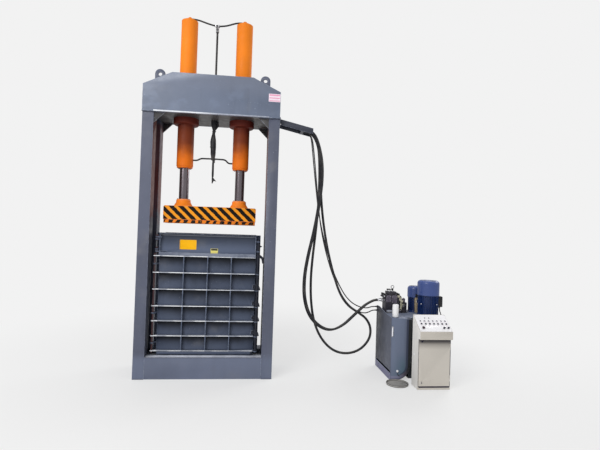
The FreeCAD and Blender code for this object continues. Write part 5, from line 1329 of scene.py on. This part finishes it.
class BALER_OT_desk(bpy.types.Operator):
    """Finish the control desk, its panel, buttons, lamps and door"""
    bl_idname = "baler.desk"
    bl_label = "Control desk"

    def execute(self, context):
        refined("desk_edge", width=0.0012, desk_cabinet="desk_coat")
        refined("desk_edge", body="desk_door", width=0.0006, desk_door="desk_coat")
        refined("panel_sheet", width=0.0008, control_panel="panel_sheet")
        spots = [(x, 141) for x in KEYS] + [(KEYS[i], 64) for i in (0, 5, 6)]
        grown("button_collars_ring", RINGS, "plated_steel",
              [(on_panel(x, up, 4.2), PANEL_WAY) for x, up in spots],
              stands_for=("button_bezels",), Ring_Radius=0.0127, Ring_Thickness=0.0024)
        coat("button_dark", *[f"push_button_{i}" for i in range(1, 8)], "selector_1", "selector_2")
        coat("button_green", "push_button_2", "push_button_4")
        coat("stop_dark", "stop_button")
        self.lamps()
        self.fronts()
        corners = [(on_panel(across, up, 3.2), PANEL_WAY) for across in (14, 420) for up in (18, 300)]
        bolts("panel_screws", "plated_steel", corners, 0.0035, 0.005, 0.0015)
        self.legends()
        return {"FINISHED"}

    def lamps(self):
        """Seven lamps with rings in a row and two small ones above."""
        s = Shape("plated_steel")
        for x in KEYS:
            place = on_panel(x, 193, 3.1)
            s.of("plated_steel").lathe([(12, 0), (12, 2), (10.4, 3.4)], place, PANEL_WAY, 24)
            s.of("lamp_smoke").lathe([(10, 0), (10, 5), (8, 7.4), (4, 8.6), (0, 9)], place, PANEL_WAY, 24)
        for x in KEYS[1:3]:
            s.lathe([(7, 0), (7, 4), (5, 6), (0, 6.6)], on_panel(x + 20, 250, 3.1), PANEL_WAY, 20)
        s.piece("lamp_domes", "button_dark", stands_for=("indicator_lamps",))

    def fronts(self):
        """The dark seal that shows round the door's leaf, the lock with its key, and a plug in the side."""
        s = Shape("button_dark")
        # Painted shade: dark strips in the gaps round the door's leaf and along its foot.
        for left, low, right, high, inner, outer in (
                (2749, 634, 3173, 640, -779.6, -777.8), (2749, 38, 3173, 46, -779.6, -777.8),
                (2749, 46, 2753, 634, -779.6, -777.8), (3169, 46, 3173, 634, -779.6, -777.8),
                (2758, 26, 3166, 42, -779.4, -777.8)):
            s.block((left, inner, low), (right, outer, high))
        s.piece("door_seal", "button_dark")
        lock = Shape("plated_steel")
        lock.lathe([(10.4, 0), (12, 1), (12, 5), (10.4, 6)], (2792, -781.4, 92), FRONT, 24)
        lock.of("button_dark").block((2789, -791.2, 78), (2795, -790.2, 108))
        # Painted shade: a dark notch under the lip.
        lock.prism([(2774, 632), (2818, 632), (2806, 616), (2790, 600), (2782, 606)], -783.6, -781.2)
        lock.piece("desk_lock", "button_dark", body="desk_door")
        plug = Shape("panel_sheet")
        plug.lathe([(14, 0), (14, 3), (10, 5), (0, 5.4)], (2744.2, -639, 418), (-1, 0, 0), 20)
        plug.piece("side_plug", "panel_white")

    def legends(self):
        """Bare legend strips above and below the buttons."""
        s = Shape("notice_pale")
        lift = Vector(PANEL_WAY) * 0.0004
        for x in KEYS:
            for up in (118, 170):
                low, high = on_panel(x - 15, up - 3, 3.15), on_panel(x + 15, up + 3, 3.15)
                corners = (low, (high[0], *low[1:]), high, (low[0], *high[1:]))
                verts = [millimetres(*corner) for corner in corners]
                sides = [(i, (i + 1) % 4, (i + 1) % 4 + 4, i + 4) for i in range(4)]
                s.put(verts + [vert + lift for vert in verts], [(3, 2, 1, 0), (4, 5, 6, 7), *sides])
        s.piece("panel_legends", "panel_white")


# ---------------------------------------- the add-on

class BALER_PT_sidebar(bpy.types.Panel):
    """Lists the baler's pieces in the sidebar"""
    bl_label = "Recycling baler"
    bl_idname = "BALER_PT_sidebar"
    bl_space_type = "VIEW_3D"
    bl_region_type = "UI"
    bl_category = "Baler"

    def draw(self, context):
        for operator in OPERATORS:
            self.layout.operator(operator.bl_idname)
        for name, kind in GROUPS.items():
            group = getattr(context.scene, name)
            column = self.layout.column(heading=kind.__doc__)
            for label in group.bl_rna.properties.keys():
                if label not in ("rna_type", "name"):
                    column.prop(group, label)


GROUPS = {"baler_paints": BalerPaints, "baler_sizes": BalerSizes, "baler_studio": BalerStudio}
OPERATORS = (BALER_OT_stage, BALER_OT_cords, BALER_OT_press_frame, BALER_OT_rams, BALER_OT_platen,
             BALER_OT_chamber, BALER_OT_tank, BALER_OT_motors, BALER_OT_valves, BALER_OT_desk)


def register():
    for name, group in GROUPS.items():
        bpy.utils.register_class(group)
        setattr(bpy.types.Scene, name, PointerProperty(type=group))
    for kind in (*OPERATORS, BALER_PT_sidebar):
        bpy.utils.register_class(kind)


def unregister():
    for kind in reversed((*OPERATORS, BALER_PT_sidebar)):
        bpy.utils.unregister_class(kind)
    for name, group in GROUPS.items():
        delattr(bpy.types.Scene, name)
        bpy.utils.unregister_class(group)


def main():
    """Makes every piece in order, then notes the CAD box and the finished model's box."""
    global BOLTS, WELDS, SLOTS, RINGS
    register()
    mix_finishes()
    BOLTS, WELDS, SLOTS, RINGS = bolt_growth(), bead_growth(), slot_growth(), ring_growth()
    for operator in OPERATORS:
        area, name = operator.bl_idname.split(".")
        getattr(getattr(bpy.ops, area), name)()


if __name__ == "__main__":
    main()
